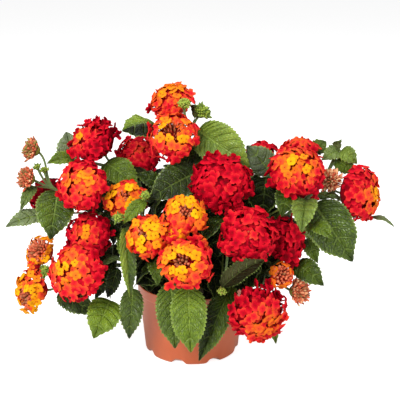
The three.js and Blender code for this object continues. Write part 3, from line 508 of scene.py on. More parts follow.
def finish(name, fill, roughness=0.5, **constants):
    """A material. fill(graph) returns sockets for the shader, and may give a Height and its Distance."""
    material = bpy.data.materials.new(name)
    material.use_nodes = True
    graph = Graph(material.node_tree)
    shader = graph.tree.nodes["Principled BSDF"]
    shader.inputs["Roughness"].default_value = roughness
    for key, value in constants.items():
        shader.inputs[key.replace("_", " ")].default_value = value
    sockets = fill(graph)
    if "Height" in sockets:
        bump = [("Height", sockets.pop("Height")), ("Distance", sockets.pop("Distance"))]
        sockets["Normal"] = graph.add("ShaderNodeBump", bump).outputs[0]
    for key, socket in sockets.items():
        graph.tree.links.new(socket, shader.inputs[key])
    return material


def use(graph, tree, **inputs):
    """The outputs of a group placed in a material."""
    return graph.add("ShaderNodeGroup", list(inputs.items()), node_tree=tree).outputs


# ---- Finishes ----


def fill_mottle(graph, inputs):
    """Two sizes of soft spots, from 0 to 1, at a scale in spots a metre, and a fine grain as a height."""
    place = graph.place()
    coarse_spots = graph.math("MULTIPLY", graph.noise(inputs["Scale"], 2, place), 0.6)
    fine_spots = graph.noise(graph.math("MULTIPLY", inputs["Scale"], 7.0), 4, place)
    both = graph.math("ADD", coarse_spots, graph.math("MULTIPLY", fine_spots, 0.4))
    return {"Mottle": graph.span(both, 0.3, 0.7), "Grain": fine_spots}


MOTTLE = group("mottle", {"Scale": "Float"}, {"Mottle": "Float", "Grain": "Float"}, fill_mottle)


def fill_veins(graph, inputs):
    """Vein is 1 on the midrib and on the side veins, which lie where Count is a whole number, and fades off
    them. Net is the wrinkled field between them, cut up by the finest veins. Across is 0 on the midrib and
    1 at the margin."""
    across = graph.math("ABSOLUTE", inputs["Across"])
    off_vein = graph.math("PINGPONG", inputs["Count"], 0.5)
    width = graph.span(across, 0.0, 1.0, 0.16, 0.07)
    side_vein = graph.math("SUBTRACT", 1.0, graph.math("DIVIDE", off_vein, width))
    side_vein = graph.math("MAXIMUM", side_vein, 0.0)
    midrib = graph.span(across, 0.02, 0.085, 1.0, 0.0)
    place = [("X", inputs["Count"]), ("Y", graph.math("MULTIPLY", across, 3.2))]
    flat = graph.add("ShaderNodeCombineXYZ", place)
    cells = [("Vector", flat.outputs[0]), ("Scale", 2.4), ("Randomness", 0.9)]
    edges = graph.add("ShaderNodeTexVoronoi", cells, feature="DISTANCE_TO_EDGE", voronoi_dimensions="2D")
    net = graph.span(edges.outputs["Distance"], 0.0, 0.3)
    return {"Side Vein": side_vein, "Midrib": midrib, "Net": net}


VEINS = group(
    "veins",
    {"Count": "Float", "Across": "Float"},
    {"Side Vein": "Float", "Midrib": "Float", "Net": "Float"},
    fill_veins,
)

# Greens by tone, from near black, painted shade for leaves deep in the crown, to a fresh yellow-green.
LEAF_TONES_AND_SHADE = [
    (0, (0.004, 0.006, 0.0015)),
    (0.25, (0.034, 0.062, 0.005)),
    (0.5, (0.1, 0.165, 0.01)),
    (0.75, (0.2, 0.3, 0.018)),
    (1, (0.34, 0.45, 0.035)),
]
# The pale grey is partly the leaves' hairy bloom and partly a painted sheen.
GREY_LEAF, MIDRIB_GREEN, UNDER_LEAF = (0.25, 0.3, 0.18, 1), (0.3, 0.42, 0.1, 1), (0.12, 0.13, 0.03, 1)
# The lower face of the darkest leaves, near black: painted shade.
PAINTED_SHADE_UNDER_LEAF = (0.022, 0.018, 0.006, 1)


def leaf_fill(graph):
    """The upper face goes from dark to fresh green by tone, the darkest being painted shade, with pale
    threads along the veins and a pale margin, and darker green beside them and along the finest veins,
    painted shade of the sunk grooves. The lower face is dull. The darkest leaves are dark below too, painted
    shade, and shine less."""
    tone, grey, side = graph.value("tone"), graph.value("grey"), graph.value("side")
    veins = use(graph, VEINS, Count=graph.value("veins"), Across=graph.value("across"))
    mottle = use(graph, MOTTLE, Scale=70.0)
    lit = graph.span(tone, 0.0, 0.3, 0.25, 1.0)
    shade = graph.math("MULTIPLY_ADD", mottle["Mottle"], 0.28, graph.math("SUBTRACT", tone, 0.17))
    # Darker along the finest veins and beside the side veins, lighter on the raised fields between: painted
    # shade of the sunk grooves.
    shade = graph.math("MULTIPLY_ADD", veins["Net"], 0.15, graph.math("SUBTRACT", shade, 0.09))
    shade = graph.math("MULTIPLY_ADD", veins["Side Vein"], -0.1, shade)
    upper = graph.mix(graph.math("MULTIPLY", grey, 0.8), graph.ramp(shade, LEAF_TONES_AND_SHADE), GREY_LEAF)
    thread = graph.math("MAXIMUM", veins["Midrib"], graph.span(veins["Side Vein"], 0.4, 0.85))
    thread = graph.math("MULTIPLY", graph.math("MULTIPLY", thread, 0.85), lit)
    rim = graph.span(graph.math("ABSOLUTE", graph.value("across")), 0.88, 1.0, 0.0, 0.6)
    pale = graph.mix(0.45, graph.ramp(graph.math("ADD", shade, 0.18), LEAF_TONES_AND_SHADE), MIDRIB_GREEN)
    upper = graph.mix(graph.math("MAXIMUM", thread, rim), upper, pale)
    ribs = graph.math("MAXIMUM", veins["Side Vein"], veins["Midrib"])
    under = graph.mix(graph.span(tone, 0.0, 0.4), PAINTED_SHADE_UNDER_LEAF, UNDER_LEAF)
    under = graph.mix(graph.math("MAXIMUM", graph.math("MULTIPLY", thread, 0.6), rim), under, MIDRIB_GREEN)
    relief = graph.math("SUBTRACT", graph.math("MULTIPLY", veins["Net"], 0.45), ribs)
    return {
        "Base Color": graph.mix(graph.span(side, -0.4, 0.4), under, upper),
        "Roughness": graph.math("MULTIPLY_ADD", veins["Net"], -0.14, 0.42),
        "Specular IOR Level": graph.span(tone, 0.0, 0.25, 0.06, 0.36),
        "Height": graph.math("MULTIPLY_ADD", mottle["Grain"], 0.25, graph.math("MULTIPLY", relief, side)),
        "Distance": 0.001,
    }


def stem_fill(graph):
    """Two greens in soft spots, brown where the stem is woody."""
    mottle = use(graph, MOTTLE, Scale=120.0)
    colour = graph.mix(mottle["Mottle"], (0.10, 0.17, 0.04, 1), (0.2, 0.27, 0.08, 1))
    colour = graph.mix(graph.value("woody"), colour, (0.13, 0.09, 0.05, 1))
    return {"Base Color": colour, "Height": mottle["Grain"], "Distance": 0.0003}


AGES = [
    (0.3, (0.86, 0.46, 0.006)),
    (0.4, (0.86, 0.33, 0.006)),
    (0.5, (0.83, 0.18, 0.012)),
    (0.6, (0.8, 0.085, 0.022)),
    (0.7, (0.75, 0.028, 0.026)),
    (0.8, (0.63, 0.006, 0.02)),
    (0.9, (0.46, 0.0015, 0.013)),
    (1.0, (0.2, 0.001, 0.007)),
]
BUD_AGES = [
    (0.0, (0.085, 0.15, 0.025)),
    (0.15, (0.32, 0.42, 0.045)),
    (0.3, (0.26, 0.16, 0.05)),
    (0.5, (0.42, 0.13, 0.055)),
    (0.7, (0.66, 0.11, 0.045)),
    (0.85, (0.8, 0.28, 0.13)),
    (1.0, (0.9, 0.55, 0.28)),
]


def petal_fill(graph):
    """The colour goes by age. Young petals are more orange at the margin. Older ones are redder at the throat
    and keep a lighter margin, partly their own colour and partly painted shade and painted light. The
    throat's own hole is dark on the young ones, painted shade, and a head's core takes some of that dark too."""
    age, reach = graph.value("age"), graph.value("reach")
    mottle = use(graph, MOTTLE, Scale=160.0)

    def amount(by_reach, by_age):
        return graph.math("MULTIPLY", graph.span(reach, *by_reach), graph.span(age, *by_age))

    # Darker red at the throat, lighter at the margin: partly the petals' own colour, partly painted shade and
    # painted light.
    throat_shade_and_margin_light = amount((0.1, 0.95, 0.13, -0.05), (0.4, 0.7, 0.3, 1.0))
    margin = amount((0.7, 1.0, 0.0, 0.12), (0.4, 0.6, 1.0, 0.0))
    wobble = graph.math("MULTIPLY_ADD", mottle["Mottle"], 0.06, graph.math("SUBTRACT", margin, 0.03))
    colour = graph.ramp(graph.math("ADD", graph.math("ADD", age, throat_shade_and_margin_light), wobble), AGES)
    # The dark of the throat's hole: painted shade. The core's small reach gives it some of this dark too.
    hole_shade = amount((0.02, 0.12, 0.7, 0.0), (0.4, 0.62, 1.0, 0.4))
    return {
        "Base Color": graph.mix(hole_shade, colour, (0.07, 0.012, 0.002, 1)),
        "Height": mottle["Grain"],
        "Distance": 0.0003,
    }


def bud_fill(graph):
    """Green at the foot and brown half way up, and at the top from green through brick to coral by age."""
    age, reach = graph.value("age"), graph.value("reach")
    tip = graph.ramp(age, BUD_AGES)
    ripe = graph.span(age, 0.1, 0.5)
    waist = graph.mix(graph.span(age, 0.6, 0.8), (0.3, 0.13, 0.05, 1), (0.6, 0.07, 0.04, 1))
    waist = graph.mix(ripe, tip, waist)
    foot = graph.mix(ripe, (0.14, 0.2, 0.05, 1), (0.15, 0.13, 0.04, 1))
    lower = graph.mix(graph.span(reach, 0.1, 0.6), foot, waist)
    return {"Base Color": graph.mix(graph.span(reach, 0.62, 0.9), lower, tip)}


def pot_fill(graph):
    """Terracotta-coloured plastic, barely spotted, with the fine grain of a mould."""
    mottle = use(graph, MOTTLE, Scale=14.0)
    colour = graph.mix(mottle["Mottle"], (0.52, 0.086, 0.014, 1), (0.59, 0.108, 0.02, 1))
    rough = graph.math("MULTIPLY_ADD", mottle["Mottle"], 0.1, 0.4)
    grain = graph.noise(900.0, 2, graph.place())
    return {"Base Color": colour, "Roughness": rough, "Height": grain, "Distance": 0.00008}


PEAT_TONES = [(0, (0.008, 0.005, 0.003)), (0.6, (0.035, 0.022, 0.012)), (1, (0.09, 0.06, 0.035))]


def soil_fill(graph):
    """Nearly black peat with brown fibres, all in fine spots."""
    mottle = use(graph, MOTTLE, Scale=260.0)["Mottle"]
    return {"Base Color": graph.ramp(mottle, PEAT_TONES), "Height": mottle, "Distance": 0.0012}


LEAF_FINISH = finish("leaf", leaf_fill)
STEM_FINISH = finish("stem", stem_fill, roughness=0.6, Sheen_Weight=0.2)
PETAL_FINISH = finish("petal", petal_fill, roughness=0.6, Specular_IOR_Level=0.03)
BUD_FINISH = finish("bud", bud_fill, roughness=0.6, Specular_IOR_Level=0.3)
SHEEN = {"Sheen_Weight": 0.6, "Sheen_Roughness": 0.45, "Sheen_Tint": (1, 0.62, 0.44, 1)}
COAT = {"Coat_Weight": 0.6, "Coat_Roughness": 0.3, "Coat_IOR": 1.6}
POT_FINISH = finish("pot plastic", pot_fill, **SHEEN, **COAT)
SOIL_FINISH = finish("peat", soil_fill, roughness=0.95, Specular_IOR_Level=0.2)


# ---- Pot and peat ----


def wall_radius(z):
    top = POT_HEIGHT - RIM_BAND / 2
    return FOOT_RADIUS + (RIM_RADIUS - RIM_STEP - FOOT_RADIUS) * z / top


def rounded(profile, steps=4, share=0.3):
    """A profile of (radius, height) with every corner cut to a short arc: a quadratic from a point a share of
    the way back to a point a share of the way on, at most 1 mm off."""
    profile = np.array(profile, float)
    corner, back, on = profile[1:-1], profile[:-2], profile[2:]

    def off(other):
        reach = np.minimum(share * np.linalg.norm(other - corner, axis=1, keepdims=True), 1.0)
        return corner + unit(other - corner) * reach

    t = np.linspace(0, 1, steps)[None, :, None]
    first, last, middle = off(back)[:, None], off(on)[:, None], corner[:, None]
    arcs = (1 - t) ** 2 * first + 2 * (1 - t) * t * middle + t**2 * last
    return np.concatenate([profile[:1], arcs.reshape(-1, 2), profile[-1:]])


def turned(profile, corners, angle0=0.0):
    """A profile of (radius, height) turned round the pot's axis, as points[1, ring, corner, xyz]."""
    angle = angle0 + around(corners)
    radius, height = profile[:, 0, None], profile[:, 1, None]
    flat = np.stack([radius * np.sin(angle), -radius * np.cos(angle), height + 0 * angle], axis=-1)
    return flat[None]


def build_pot():
    """The wall's profile, turned, its foot raised in eight notches. It runs out under the base, up outside,
    over the lip and down inside to the middle of the base. The drains are cut last."""
    band_foot = POT_HEIGHT - RIM_BAND
    band = wall_radius(band_foot)
    tiny = 0.05
    profile = [
        (tiny, 0),
        (NOTCH_INNER, 0),
        (FOOT_RADIUS - FOOT_ROUND, 0),
        (FOOT_RADIUS, FOOT_ROUND),
        (wall_radius(30), 30),
        (band, band_foot),
        (band + RIM_STEP, band_foot + SHOULDER),
        (RIM_RADIUS, POT_HEIGHT - LIP_ROUND),
        (RIM_RADIUS - WALL / 2, POT_HEIGHT),
        (RIM_RADIUS - WALL, POT_HEIGHT - LIP_ROUND),
        (band + RIM_STEP - WALL, band_foot + SHOULDER + WALL),
        (band - WALL, band_foot + WALL / 2),
        (wall_radius(BASE + FOOT_ROUND) - WALL, BASE + FOOT_ROUND),
        (FOOT_RADIUS - FOOT_ROUND, BASE),
        (NOTCH_INNER, BASE),
        (tiny, BASE),
    ]
    points = turned(rounded(profile), POT_CORNERS, NOTCH_TURN)
    x, y, z = points[..., 0], points[..., 1], points[..., 2]
    radius = np.hypot(x, y)
    angle = np.arctan2(x, -y) - NOTCH_TURN
    raised = smoothstep(NOTCH_INNER, FOOT_RADIUS - FOOT_ROUND, radius) * smoothstep(14, 3, z)
    points[..., 2] += NOTCH_LIFT * smoothstep(0.1, 1, np.cos(NOTCHES * angle)) * raised
    pot = build_piece("nursery_pot", [rings_to_skin(points)], POT_FINISH, "pot", "pot")
    cut_drains(pot)


def cut_drains(pot):
    """Eight round drain holes through the base, one under each notch."""
    angle = NOTCH_TURN + around(NOTCHES)
    way = np.stack([np.sin(angle), -np.cos(angle), 0 * angle], axis=-1)
    ring = DRAIN_RADIUS * circle(24, vec(1, 0, 0), vec(0, 1, 0))
    levels = vec(0, 0, 1) * np.array([-BASE, 3 * BASE])[:, None, None]
    pins = (DRAIN_RING * way)[:, None, None] + levels[None] + ring[None, None]
    points, quads, ends, _ = rings_to_skin(pins)
    mesh = bpy.data.meshes.new("drain_pins")
    mesh.from_pydata(points * MM, [], quads.tolist() + ends.tolist())
    cutter = bpy.data.objects.new("drain_pins", mesh)
    bpy.context.scene.collection.objects.link(cutter)
    cut = pot.modifiers.new("drains", "BOOLEAN")
    cut.operation, cut.solver, cut.object = "DIFFERENCE", "EXACT", cutter
    evaluated = pot.evaluated_get(bpy.context.evaluated_depsgraph_get())
    finished = bpy.data.meshes.new_from_object(evaluated)
    pot.modifiers.clear()
    pot.data = finished
    bpy.data.objects.remove(cutter)


def build_soil():
    """The peat: a block with a crowned top, made lumpy by a few crossed waves, and crumbs strewn over it."""

    def inner(z):
        return wall_radius(z) - WALL - CLEARANCE

    floor = BASE + CLEARANCE
    shelf = floor + NOTCH_LIFT + FOOT_ROUND
    edge = inner(SOIL_EDGE)
    rows = [(0.1, floor), (NOTCH_INNER - WALL, floor)]
    rows += [(inner(shelf) - FOOT_ROUND, shelf), (inner(shelf), shelf + FOOT_ROUND)]
    below = len(rows)
    rows += [(edge * share, SOIL_EDGE) for share in np.linspace(1, 0.002, 36)]
    points = turned(np.array(rows, float), PEAT_CORNERS)
    points[0, below:] = heaped(points[0, below:, :, :2], edge)
    build_piece("peat", [rings_to_skin(points), crumbs(CRUMBS, edge)], SOIL_FINISH, "soil", "soil")


def heaped(flat, edge):
    """Points of the peat's top over flat places: a low dome, and waves of three lengths that cross."""
    x, y = flat[..., 0], flat[..., 1]
    inward = np.clip(1 - np.hypot(x, y) / edge, 0, 1)
    lumps = 0.8 * (np.sin(0.31 * x + 1.1) + np.cos(0.27 * y - 0.5))
    lumps += 0.45 * np.sin(0.9 * x + 0.5 * y) * np.cos(0.8 * y - 0.4 * x) + 0.3 * np.sin(1.9 * x - 1.3 * y)
    height = SOIL_EDGE + SOIL_CROWN * np.sqrt(inward) + lumps * np.minimum(1, 4 * inward)
    return np.stack([x, y, height], axis=-1)


def crumbs(count, edge):
    """Small six-cornered lumps half sunk in the peat: three rings each, stretched and turned at random."""
    radius, turn = 0.97 * edge * np.sqrt(rng.random(count)), 2 * np.pi * rng.random(count)
    centre = heaped(np.stack([radius * np.cos(turn), radius * np.sin(turn)], axis=-1), edge)
    size = rng.uniform(0.6, 1.9, (count, 1, 1, 1))
    angle = around(6)
    level, width = vec(-0.7, 0, 0.7)[:, None], vec(0.5, 1, 0.45)[:, None]
    ball = np.stack([width * np.cos(angle), width * np.sin(angle), level + 0 * angle], axis=-1)
    return rings_to_skin(centre[:, None, None] + size * ball * rng.uniform(0.6, 1.2, (count, 3, 6, 1)))


# ---- Stems and leaves ----


def shoot_points(shoot, t):
    """Points and tangents of the shoot above its straight foot, at shares t of its arc."""
    x, y = shoot.foot
    rise = STEM_STRAIGHT + STEM_UPRIGHT * (shoot.tip[2] - STEM_STRAIGHT)
    return cubic(vec(x, y, STEM_STRAIGHT), vec(x, y, rise), vec(*shoot.lean), vec(*shoot.tip), t)


def stem_skin(path, ahead, radius, woody):
    """A four-angled stem: at each place a ring of radius r / (|cos|^5 + |sin|^5)^(1/5), softly square."""
    start_to_end = path[-1] - path[0]
    reference = np.cross(ahead[0], start_to_end)
    if np.linalg.norm(reference) < 1e-3:
        reference = np.cross(ahead[0], vec(0.3, 1, 0.1))
    side = square_to(unit(reference)[None], ahead)
    other = np.cross(ahead, side)
    angle = around(STEM_CORNERS)
    square = (np.abs(np.cos(angle)) ** 5 + np.abs(np.sin(angle)) ** 5) ** -0.2
    x, y = (square * np.cos(angle))[:, None], (square * np.sin(angle))[:, None]
    rings = path[:, None] + radius[:, None, None] * (x * side[:, None] + y * other[:, None])
    return rings_to_skin(rings[None], woody=np.asarray(woody)[None, :, None])


def main_stem(shoot):
    """The shoot from the floor of its hole to its tip, thinner upwards, with a swelling at each leaf pair."""
    t = np.linspace(0, 1, 36)
    path, ahead = shoot_points(shoot, t)
    foot = vec(*shoot.foot, HOLE_FLOOR + CLEARANCE)
    path = np.concatenate([foot[None], path])
    ahead = np.concatenate([vec(0, 0, 1)[None], ahead])
    t = np.concatenate([[0], t])
    joints = np.array([leaf.at for leaf in shoot.leaves])
    swelling = JOINT_SWELLING * np.exp(-(((t[:, None] - joints) / JOINT_LENGTH) ** 2)).max(axis=1)
    radius = STEM_FOOT + (STEM_TIP - STEM_FOOT) * t + swelling
    return stem_skin(path, ahead, radius, woody=smoothstep(0.35, 0, t))


def stalk(shoot, head):
    """The bare stalk of a head: an arc that leaves along the shoot and comes in along the head's axis."""
    start, along = (a[0] for a in shoot_points(shoot, [head.at]))
    centre, axis = vec(*head.centre), unit(vec(*head.axis))
    end = centre - axis * (HEAD_FLATNESS * SEAT_DEPTH * head.radius - 1.0)
    pull = STALK_BEND * np.linalg.norm(end - start)
    s = np.linspace(0, 1, 16)
    path, ahead = cubic(start, start + along * pull, end - axis * pull, end, s)
    radius = STALK_RADIUS * (0.85 + 0.25 * s**4)
    return stem_skin(path, ahead, radius, woody=0 * s)


def half_width(s, width):
    """Half the blade's width at a share s of its length: a curve that is 1 at its widest and 0 at both ends,
    drawn in a little more towards the tip."""
    narrowing = LEAF_FULLNESS * (1 / LEAF_WIDEST - 1)
    s = np.clip(s, 0, 1)
    full = (s / LEAF_WIDEST) ** LEAF_FULLNESS * ((1 - s) / (1 - LEAF_WIDEST)) ** narrowing
    return width / 2 * full * (1 - 0.4 * smoothstep(0.7, 1, s))


def leaf_skin(leaf, start, detail=FINE_BLADE):
    """A serrate blade on its stalk. Rings go from the shoot along the stalk and the blade. A ring has the
    upper face from the left margin to the right one, and then the lower face back. Along the margin a tooth
    rises over tooth_steps and falls back at once. A ring lags towards the midrib, as the side veins do; the
    field between two veins stands up, and the blade is arched, folded and waved at its margin."""
    across, tooth_steps, tooth_length = detail
    base, tip = vec(*leaf.base), vec(*leaf.tip)
    length = np.linalg.norm(tip - base)
    ahead = unit(tip - base)
    level = unit(vec(-ahead[1], ahead[0], 0))
    roll = np.radians(leaf.roll)
    left = level * np.cos(roll) + np.cross(ahead, level) * np.sin(roll)
    upper = np.cross(ahead, left)
    fold = np.radians(leaf.fold)

    teeth = max(4, round(length / tooth_length))
    steps = np.array(tooth_steps)
    margin_s = ((np.arange(teeth)[:, None] + steps) / (teeth + 0.3)).ravel()
    margin_s = np.append(margin_s, [(teeth + 0.05) / (teeth + 0.3), 1])
    fall = np.append(np.tile(1 - steps / steps[-1], teeth), [0.5, 0])

    top = np.linspace(1, -1, across + 1)
    v = np.concatenate([top, top[-2:0:-1]])
    face = np.concatenate([[0], np.ones(across - 1), [0], -np.ones(across - 1)])
    edge = np.abs(v)
    s_row, v_col = margin_s[:, None], v[None]
    half = np.maximum(half_width(s_row, leaf.width), 0.25)
    notch = np.minimum(TOOTH_DEPTH, 0.2 * half) * fall[:, None]
    x = v_col * (half - notch * edge**6)
    s = s_row - VEIN_LAG * np.sin(np.pi * s_row) * (1 - edge**1.4)
    veins = max(4, round(length / VEIN_SPACING))
    field_height = np.abs(np.sin(np.pi * veins * s_row)) ** 0.7 * np.sqrt(4 * edge * np.maximum(0, 1 - edge))
    wave_turn = 2 * np.pi * rng.random()
    wave = np.sin(2 * np.pi * WAVES * s_row + wave_turn + 1.3 * np.sign(v_col))
    wave = WAVE_HEIGHT * half * wave * edge**3
    thick = face * BLADE_THICKNESS / 2 * (1 - edge**4) * (1 - 0.5 * s_row)
    depth = QUILT_DEPTH * min(1, leaf.width / 30)
    folded = np.abs(x) * np.sin(fold) * (1.15 - 0.45 * edge**2)
    z = leaf.arch * 4 * s * (1 - s) + folded + depth * field_height + wave + thick
    out, aside = (length * s)[..., None], (x * np.cos(fold))[..., None]
    blade = base + ahead * out + left * aside + upper * z[..., None]

    t = np.linspace(0, 1, 6)[:-1]
    way = base - start
    sag = 0.06 * np.linalg.norm(way) * vec(0, 0, 1)
    path, along = cubic(start, start + way / 3 + sag, start + way * 2 / 3 + sag, base, t)
    side = square_to(left[None], along)
    round_turn = np.pi * np.concatenate([np.arange(across + 1), np.arange(across + 1, 2 * across)]) / across
    over = np.cross(along, side)
    round_x, round_y = np.cos(round_turn)[:, None], np.sin(round_turn)[:, None]
    petiole = path[:, None] + PETIOLE * (round_x * side[:, None] + round_y * over[:, None])

    rings = np.concatenate([petiole, blade])[None]
    on_stalk, on_blade = np.ones((len(petiole), 1)), np.ones((len(margin_s), 1))
    return rings_to_skin(
        rings,
        veins=np.concatenate([on_stalk * 0.5, veins * s_row])[None],
        across=np.concatenate([on_stalk * 0.5 * np.sign(v), on_blade * v])[None],
        side=np.concatenate([on_stalk * 0 * face, on_blade * face])[None],
        # One half's tone is lowered here: painted shade of a folded leaf.
        tone=leaf.tone - leaf.half_shade / 2 * np.clip(4 * v, -1, 1),
        grey=leaf.grey,
    )


def inner_leaves(shoot):
    """Plain leaves for the inside of the crown, dark green to near black as painted shade: crossed pairs
    along the shoot, each as (start, leaf).
    Those that would leave the crown's inner part or reach into a head are left out."""
    leaves = []
    around = rng.uniform(0, np.pi)
    for k, at in enumerate(np.arange(0.3, 1.0, 0.11)):
        start, along = (a[0] for a in shoot_points(shoot, [at]))
        one = square_to(vec(0.2, 1, 0.1), along)
        other = np.cross(along, one)
        for turn in (around + k * np.pi / 2, around + k * np.pi / 2 + np.pi):
            radial = np.cos(turn) * one + np.sin(turn) * other
            way = unit(radial + rng.uniform(0.1, 0.5) * along - vec(0, 0, rng.uniform(0.1, 0.5)))
            length = rng.uniform(30, 44)
            base, tip = start + 6 * way, start + (6 + length) * way
            if clear_of_heads(base, tip) and inside_crown(tip):
                # A low tone, dark to near black: painted shade inside the crown.
                width, tone = length * rng.uniform(0.5, 0.65), rng.uniform(0.0, 0.2)
                roll = rng.uniform(-35, 35)
                leaves.append((start, Leaf(at, tuple(base), tuple(tip), width, roll=roll, tone=tone)))
    return leaves


def clear_of_heads(base, tip):
    along = base + np.linspace(0, 1, 5)[:, None] * (tip - base)
    return all(np.linalg.norm(along - centre, axis=1).min() > radius + 2 for centre, radius in HEADS)


def inside_crown(point):
    middle, half = vec(5, 0, 130), vec(120, 82, 88)
    return point[2] > 66 and np.linalg.norm((point - middle) / half) < 1


def build_shoot(shoot):
    heads = shoot.blooms + shoot.bud_heads + shoot.greens
    stems = [main_stem(shoot)] + [stalk(shoot, head) for head in heads]
    node = "leafy_stem_" + shoot.name
    build_piece("stems_" + shoot.name, stems, STEM_FINISH, "leaf", node)
    starts = shoot_points(shoot, [leaf.at for leaf in shoot.leaves])[0]
    leaves = [leaf_skin(leaf, start) for leaf, start in zip(shoot.leaves, starts)]
    build_piece("leaves_" + shoot.name, leaves, LEAF_FINISH, "leaf", node)
    plain = [leaf_skin(leaf, start, PLAIN_BLADE) for start, leaf in inner_leaves(shoot)]
    if plain:
        build_piece("inner_leaves_" + shoot.name, plain, LEAF_FINISH, "leaf", node)


# ---- Flower heads ----


def cap_directions(count):
    """Directions spread evenly over the cap of a head: each a golden angle on from the one before."""
    i = np.arange(count)
    z = 1 - (i + 0.5) / count * (1 - np.cos(np.radians(HEAD_CAP)))
    turn = i * np.pi * (3 - np.sqrt(5))
    r = np.sqrt(1 - z * z)
    return np.stack([r * np.cos(turn), r * np.sin(turn), z], axis=-1)


def head_frame(head):
    """The head's axis and two directions square to it."""
    axis = unit(vec(*head.axis))
    across = square_to(vec(1, 0, 0) if abs(axis[0]) < 0.8 else vec(0, 0, 1), axis)
    return axis, across, np.cross(axis, across)


def spread(head, pitch, drop=0.0):
    """Where the head's florets sit: their middles, the ways they face, their angle from the eye in degrees,
    where their tubes start on the small receptacle, and which of them sit a drop lower than the others.
    Towards the head's rim they face less evenly and some stand out."""
    axis, across, other = head_frame(head)
    area = 2 * np.pi * (1 - np.cos(np.radians(HEAD_CAP))) * head.radius**2 * DOME_SHARE
    count = max(7, round(area / (FLORET_SHARE * pitch**2)))
    local = cap_directions(count)
    local = unit(local + rng.normal(0, SEAT_SCATTER * pitch / head.radius, local.shape))
    basis = np.stack([across, other, axis])
    away = local @ basis
    squashed = (local * vec(1, 1, HEAD_FLATNESS)) @ basis
    unevenness = head.ruffle * np.interp(local[:, 2], [0, 0.7], [1.5, 0.8])[:, None]
    facing = unit((local * vec(1, 1, 1 / HEAD_FLATNESS)) @ basis + rng.normal(0, 1, local.shape) * unevenness)
    centre = vec(*head.centre)
    eye = unit(vec(*(head.eye or head.axis)))
    angle = np.degrees(np.arccos(np.clip(away @ eye, -1, 1)))
    rim = np.interp(local[:, 2], [0, 0.6], [1, 0])[:, None]
    low = rng.random(count) < LOW_SHARE
    lift = rng.normal(0, 2.4 * head.ruffle, (count, 1))
    lift += rim * rng.uniform(-1.5, 1.4 + 3.5 * head.ruffle, (count, 1))
    lift -= drop * low[:, None]
    middle = centre + squashed * (head.radius - LIMB_INSET) + away * lift
    root = centre - axis * 0.28 * head.radius + squashed * 0.2 * head.radius
    return middle, facing, angle, root, low


def floret_skin(middle, facing, root, size, age):
    """Open florets: a thin tube from the receptacle that ends in a flat limb of four round lobes. At an angle
    a the limb reaches 1 - n sin(2a)^6, with n from 0.3 on young ones to 0.42, times the lobe's own length.
    Each lobe is bent up or down by itself, the creases between lobes are sunk, and the margins curl down."""
    count = len(middle)
    x_way = square_to(rng.normal(0, 1, (count, 3)), facing)
    y_way = np.cross(facing, x_way)
    a = around(FLORET_CORNERS)
    old = np.interp(age, [0.4, 0.8], [0, 1])[:, None, None]
    crease = np.sin(2 * a) ** 6
    lobe = (np.arange(FLORET_CORNERS) + 2) // 4 % 4
    length = rng.uniform(0.86, 1.12, (count, 4))[:, None, lobe]
    bend = rng.normal(0, 1, (count, 4))[:, None, lobe] * (1 - crease)
    outline = (1 - (0.3 + 0.12 * old) * crease) * length
    #            foot, tube's top, margin, inner, throat
    radius = vec(0.09, 0.13, 1.0, 0.55, 0.09)[:, None]
    height = vec(0, -0.2, 0, 0.08, -0.02)[:, None]
    lobed = vec(0, 0, 1, 0.55, 0)[:, None]
    reach = vec(0.2, 0.2, 1, 0.5, 0)
    shape = radius * (1 + lobed * (outline - 1))
    curl = rng.uniform(0.02, 0.2, (count, 1, 1)) + 0.08 * old
    ruffle = rng.normal(0, 1, (count, 1, FLORET_CORNERS)) * 0.05 * old
    z = height - lobed**2 * (curl + (0.08 + 0.13 * old) * bend + ruffle) - 0.1 * lobed * crease
    flat_x, flat_y = (shape * np.cos(a))[..., None], (shape * np.sin(a))[..., None]
    across, up, out = x_way[:, None, None], y_way[:, None, None], facing[:, None, None]
    points = size[:, None, None, None] * (flat_x * across + flat_y * up + z[..., None] * out)
    points += middle[:, None, None]
    points[:, 0] += (root - middle)[:, None]
    # A lobe bent down is coloured a little darker, one bent up a little lighter: painted shade and painted
    # light.
    shade = age[:, None, None] + 0.012 * bend * lobed
    return rings_to_skin(points, age=shade, reach=reach[None, :, None])


def core_skin(head, age, share, drop):
    """The shaded inside of a head, behind its florets: a lumpy dome that closes to a point at the stalk,
    coloured darker than the florets as painted shade. It has a share of the head's size, and its middle lies
    a drop of the head's radius lower."""
    axis, across, other = head_frame(head)
    tilt = np.linspace(np.pi - 0.02, 0.02, 14)[:, None]
    turn = around(24)
    lumps = 1 + 0.06 * np.sin(7 * turn + 2) * np.sin(9 * tilt) * np.sin(tilt)
    out = share * head.radius * lumps * np.where(tilt > np.pi / 2, np.sin(tilt) ** 2, np.sin(tilt))
    rise = HEAD_FLATNESS * share * head.radius * lumps * np.cos(tilt)
    ring = circle(24, across, other)
    middle = vec(*head.centre) - drop * head.radius * axis
    points = middle + out[..., None] * ring + rise[..., None] * axis
    # Its reach lets the petal finish darken it like a throat: painted shade.
    return rings_to_skin(points[None], age=age, reach=0.07)


